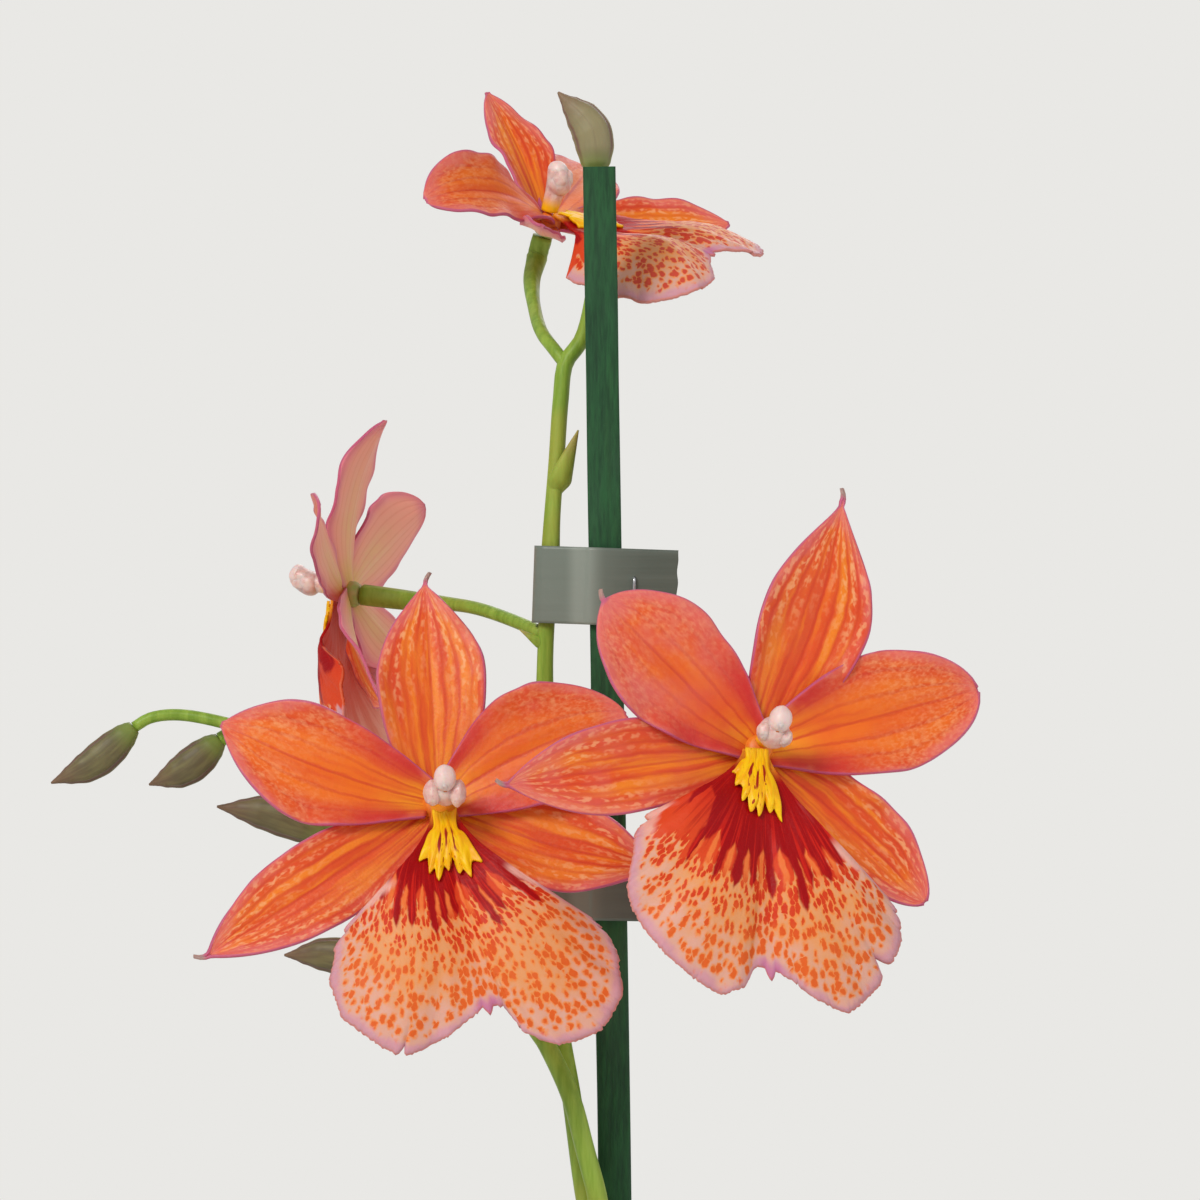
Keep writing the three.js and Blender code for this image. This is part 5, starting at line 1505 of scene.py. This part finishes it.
def makeBark():
    bm, chip = blank("chip")
    draw = random.Random(bark["seed"])
    noise.seed_set(bark["seed"])  # noise_vector follows the clock without it
    room, crumbTop = bark["room"], bark["top"] - bark["crumbDrop"]
    inner, outer = [potRadius(z) - pot["wall"] - seatGap for z in (bark["floor"], crumbTop)]
    path = pathThrough([(0, 0, bark["floor"]), (0, 0, crumbTop)])

    def radiusAt(share, angle):
        return blend(inner, outer, share) * (1 + 0.004 * math.sin(17 * angle))

    for vert in rod(bm, path, radiusAt, 20, 90):
        vert[chip] = (0.5, 0, 0)
    for face in bm.faces:
        face.material_index = 1
    top = [face for face in bm.faces if all(vert.co.z > crumbTop - 0.01 for vert in face.verts)]
    bmesh.ops.inset_region(bm, faces=top, thickness=outer * 0.45)
    bmesh.ops.triangulate(bm, faces=[face for face in bm.faces if len(face.verts) > 4])
    freshVerts(bm)
    # (x, y, how much room it needs) of what stands in the bark
    standing = [(*bulb["at"], room["bulb"] * bulb["scale"]) for bulb in bulbs]
    standing.append((*spike["stem"][0][:2], room["stem"]))
    standing.append((stakeAt(bark["top"]).x, stake["foot"][1], room["stake"]))
    standing += [(*leafFoot(leaf).xy, room["leaf"]) for leaf in leaves if leaf["foot"] == "soil"]
    for number in range(bark["chips"]):
        long = draw.uniform(*bark["long"])
        wide, thick = long * draw.uniform(*bark["shape"]), draw.uniform(*bark["thick"])
        share, angle = math.sqrt(draw.random()), draw.uniform(0, math.tau)
        limit = potRadius(bark["top"]) - pot["wall"] - long * 0.56
        x, y = limit * share * math.cos(angle), limit * share * math.sin(angle)
        turn, tilt, roll = draw.uniform(0, math.pi), draw.gauss(0, bark["tilt"]), draw.gauss(0, bark["roll"])
        tone, z = draw.random(), bark["top"] - draw.uniform(-bark["high"], bark["low"])
        if any(math.hypot(x - a, y - b) < room + long * 0.35 for a, b, room in standing):
            z -= bark["besideDrop"]
            long, wide = long * bark["besideSize"][0], wide * bark["besideSize"][1]
            if any(math.hypot(x - a, y - b) < room * 0.75 for a, b, room in standing):
                continue
        cube = bmesh.ops.create_cube(bm, size=1)["verts"]
        bmesh.ops.subdivide_edges(bm, edges=edgesOf(cube), cuts=1, use_grid_fill=True)
        place = Matrix.Translation((x, y, z))
        for angle, axis in ((turn, "Z"), (tilt, "X"), (roll, "Y")):
            place = place @ Matrix.Rotation(angle, 4, axis)
        for vert in freshVerts(bm):
            corner = vert.co.length
            rough = noise.noise_vector(vert.co * 2.3 + Vector((number * 3.7, 0, 0)))
            own = vert.co * (1 - bark["cornersOff"] * eased(corner, 0.6, 0.87)) + rough * bark["rough"]
            vert[chip] = (tone, 0, 0)
            vert.co = place @ Vector((own.x * long, own.y * wide, own.z * thick))
    finishPiece(bm, "barkMix", ["bark_mix"], ["chips", "soil"], sharp=38)


makeBark()
print("bark made")


# Floor, light and camera

studio = {
    "floor": (226, 225, 221), "floorRadius": 4.0, "floorFade": (0.5, 1.7), "sky": (233, 232, 229),
    "skyLight": 0.47, "camera": (0, -1.1, 0.477356), "frameWidth": 171.6, "distance": 1100, "sensor": 36,
    "aim": (0, 0, 0.45),
    "lamps": [
        {"name": "key", "at": (-0.9, -1.3, 1.5), "size": 0.7, "power": 18.5, "tint": (1, 0.985, 0.96)},
        {"name": "fill", "at": (1.3, -1.1, 0.8), "size": 1.4, "power": 5, "tint": (0.97, 0.985, 1)},
        {"name": "back", "at": (0.4, 1.4, 1.4), "size": 1.2, "power": 8, "tint": (1, 1, 1)},
    ],
}


def makeStudio():
    bm = bmesh.new()
    bmesh.ops.create_circle(bm, cap_ends=True, segments=96, radius=studio["floorRadius"])
    mesh = bpy.data.meshes.new("floor")
    bm.to_mesh(mesh)
    bm.free()
    made = Finish("pale floor", 0.8, 0.0)
    x, y, _ = made.split(made.onObject((1, 1, 1)))
    far = made.step(made.sum("SQRT", x * x + y * y), *studio["floorFade"])
    made.ground(far, studio["floor"], (0, 0, 0))
    made.feed(made.shader.inputs["Emission Color"], paint(*studio["sky"]))
    made.feed(made.shader.inputs["Emission Strength"], far)
    mesh.materials.append(made.material)
    floor = inScene("floor", mesh)

    world = bpy.data.worlds.new("pale studio")
    world.use_nodes = True
    nodes, links = world.node_tree.nodes, world.node_tree.links
    shown, lit = nodes["Background"], nodes.new("ShaderNodeBackground")
    shown.inputs[0].default_value = paint(*studio["sky"])
    lit.inputs[0].default_value = (1, 1, 1, 1)
    lit.inputs[1].default_value = studio["skyLight"]
    seen, choice = nodes.new("ShaderNodeLightPath"), nodes.new("ShaderNodeMixShader")
    links.new(seen.outputs["Is Camera Ray"], choice.inputs[0])
    links.new(lit.outputs[0], choice.inputs[1])
    links.new(shown.outputs[0], choice.inputs[2])
    links.new(choice.outputs[0], nodes["World Output"].inputs[0])
    bpy.context.scene.world = world

    aim = Vector(studio["aim"])
    for lamp in studio["lamps"]:
        light = bpy.data.lights.new(lamp["name"], "AREA")
        light.shape, light.size, light.energy = "DISK", lamp["size"], lamp["power"]
        light.color = lamp["tint"]
        holder = inScene(lamp["name"], light)
        holder.location = lamp["at"]
        holder.rotation_euler = (aim - Vector(lamp["at"])).to_track_quat("-Z", "Y").to_euler()

    lens = bpy.data.cameras.new("camera")
    lens.sensor_width = studio["sensor"]
    lens.lens = studio["sensor"] * studio["distance"] / studio["frameWidth"]
    camera = inScene("camera", lens)
    camera.location = studio["camera"]
    camera.rotation_euler = (math.radians(90), 0, 0)
    bpy.context.scene.camera = camera
    bpy.context.scene.view_settings.view_transform = "Standard"


makeStudio()
print("studio made")
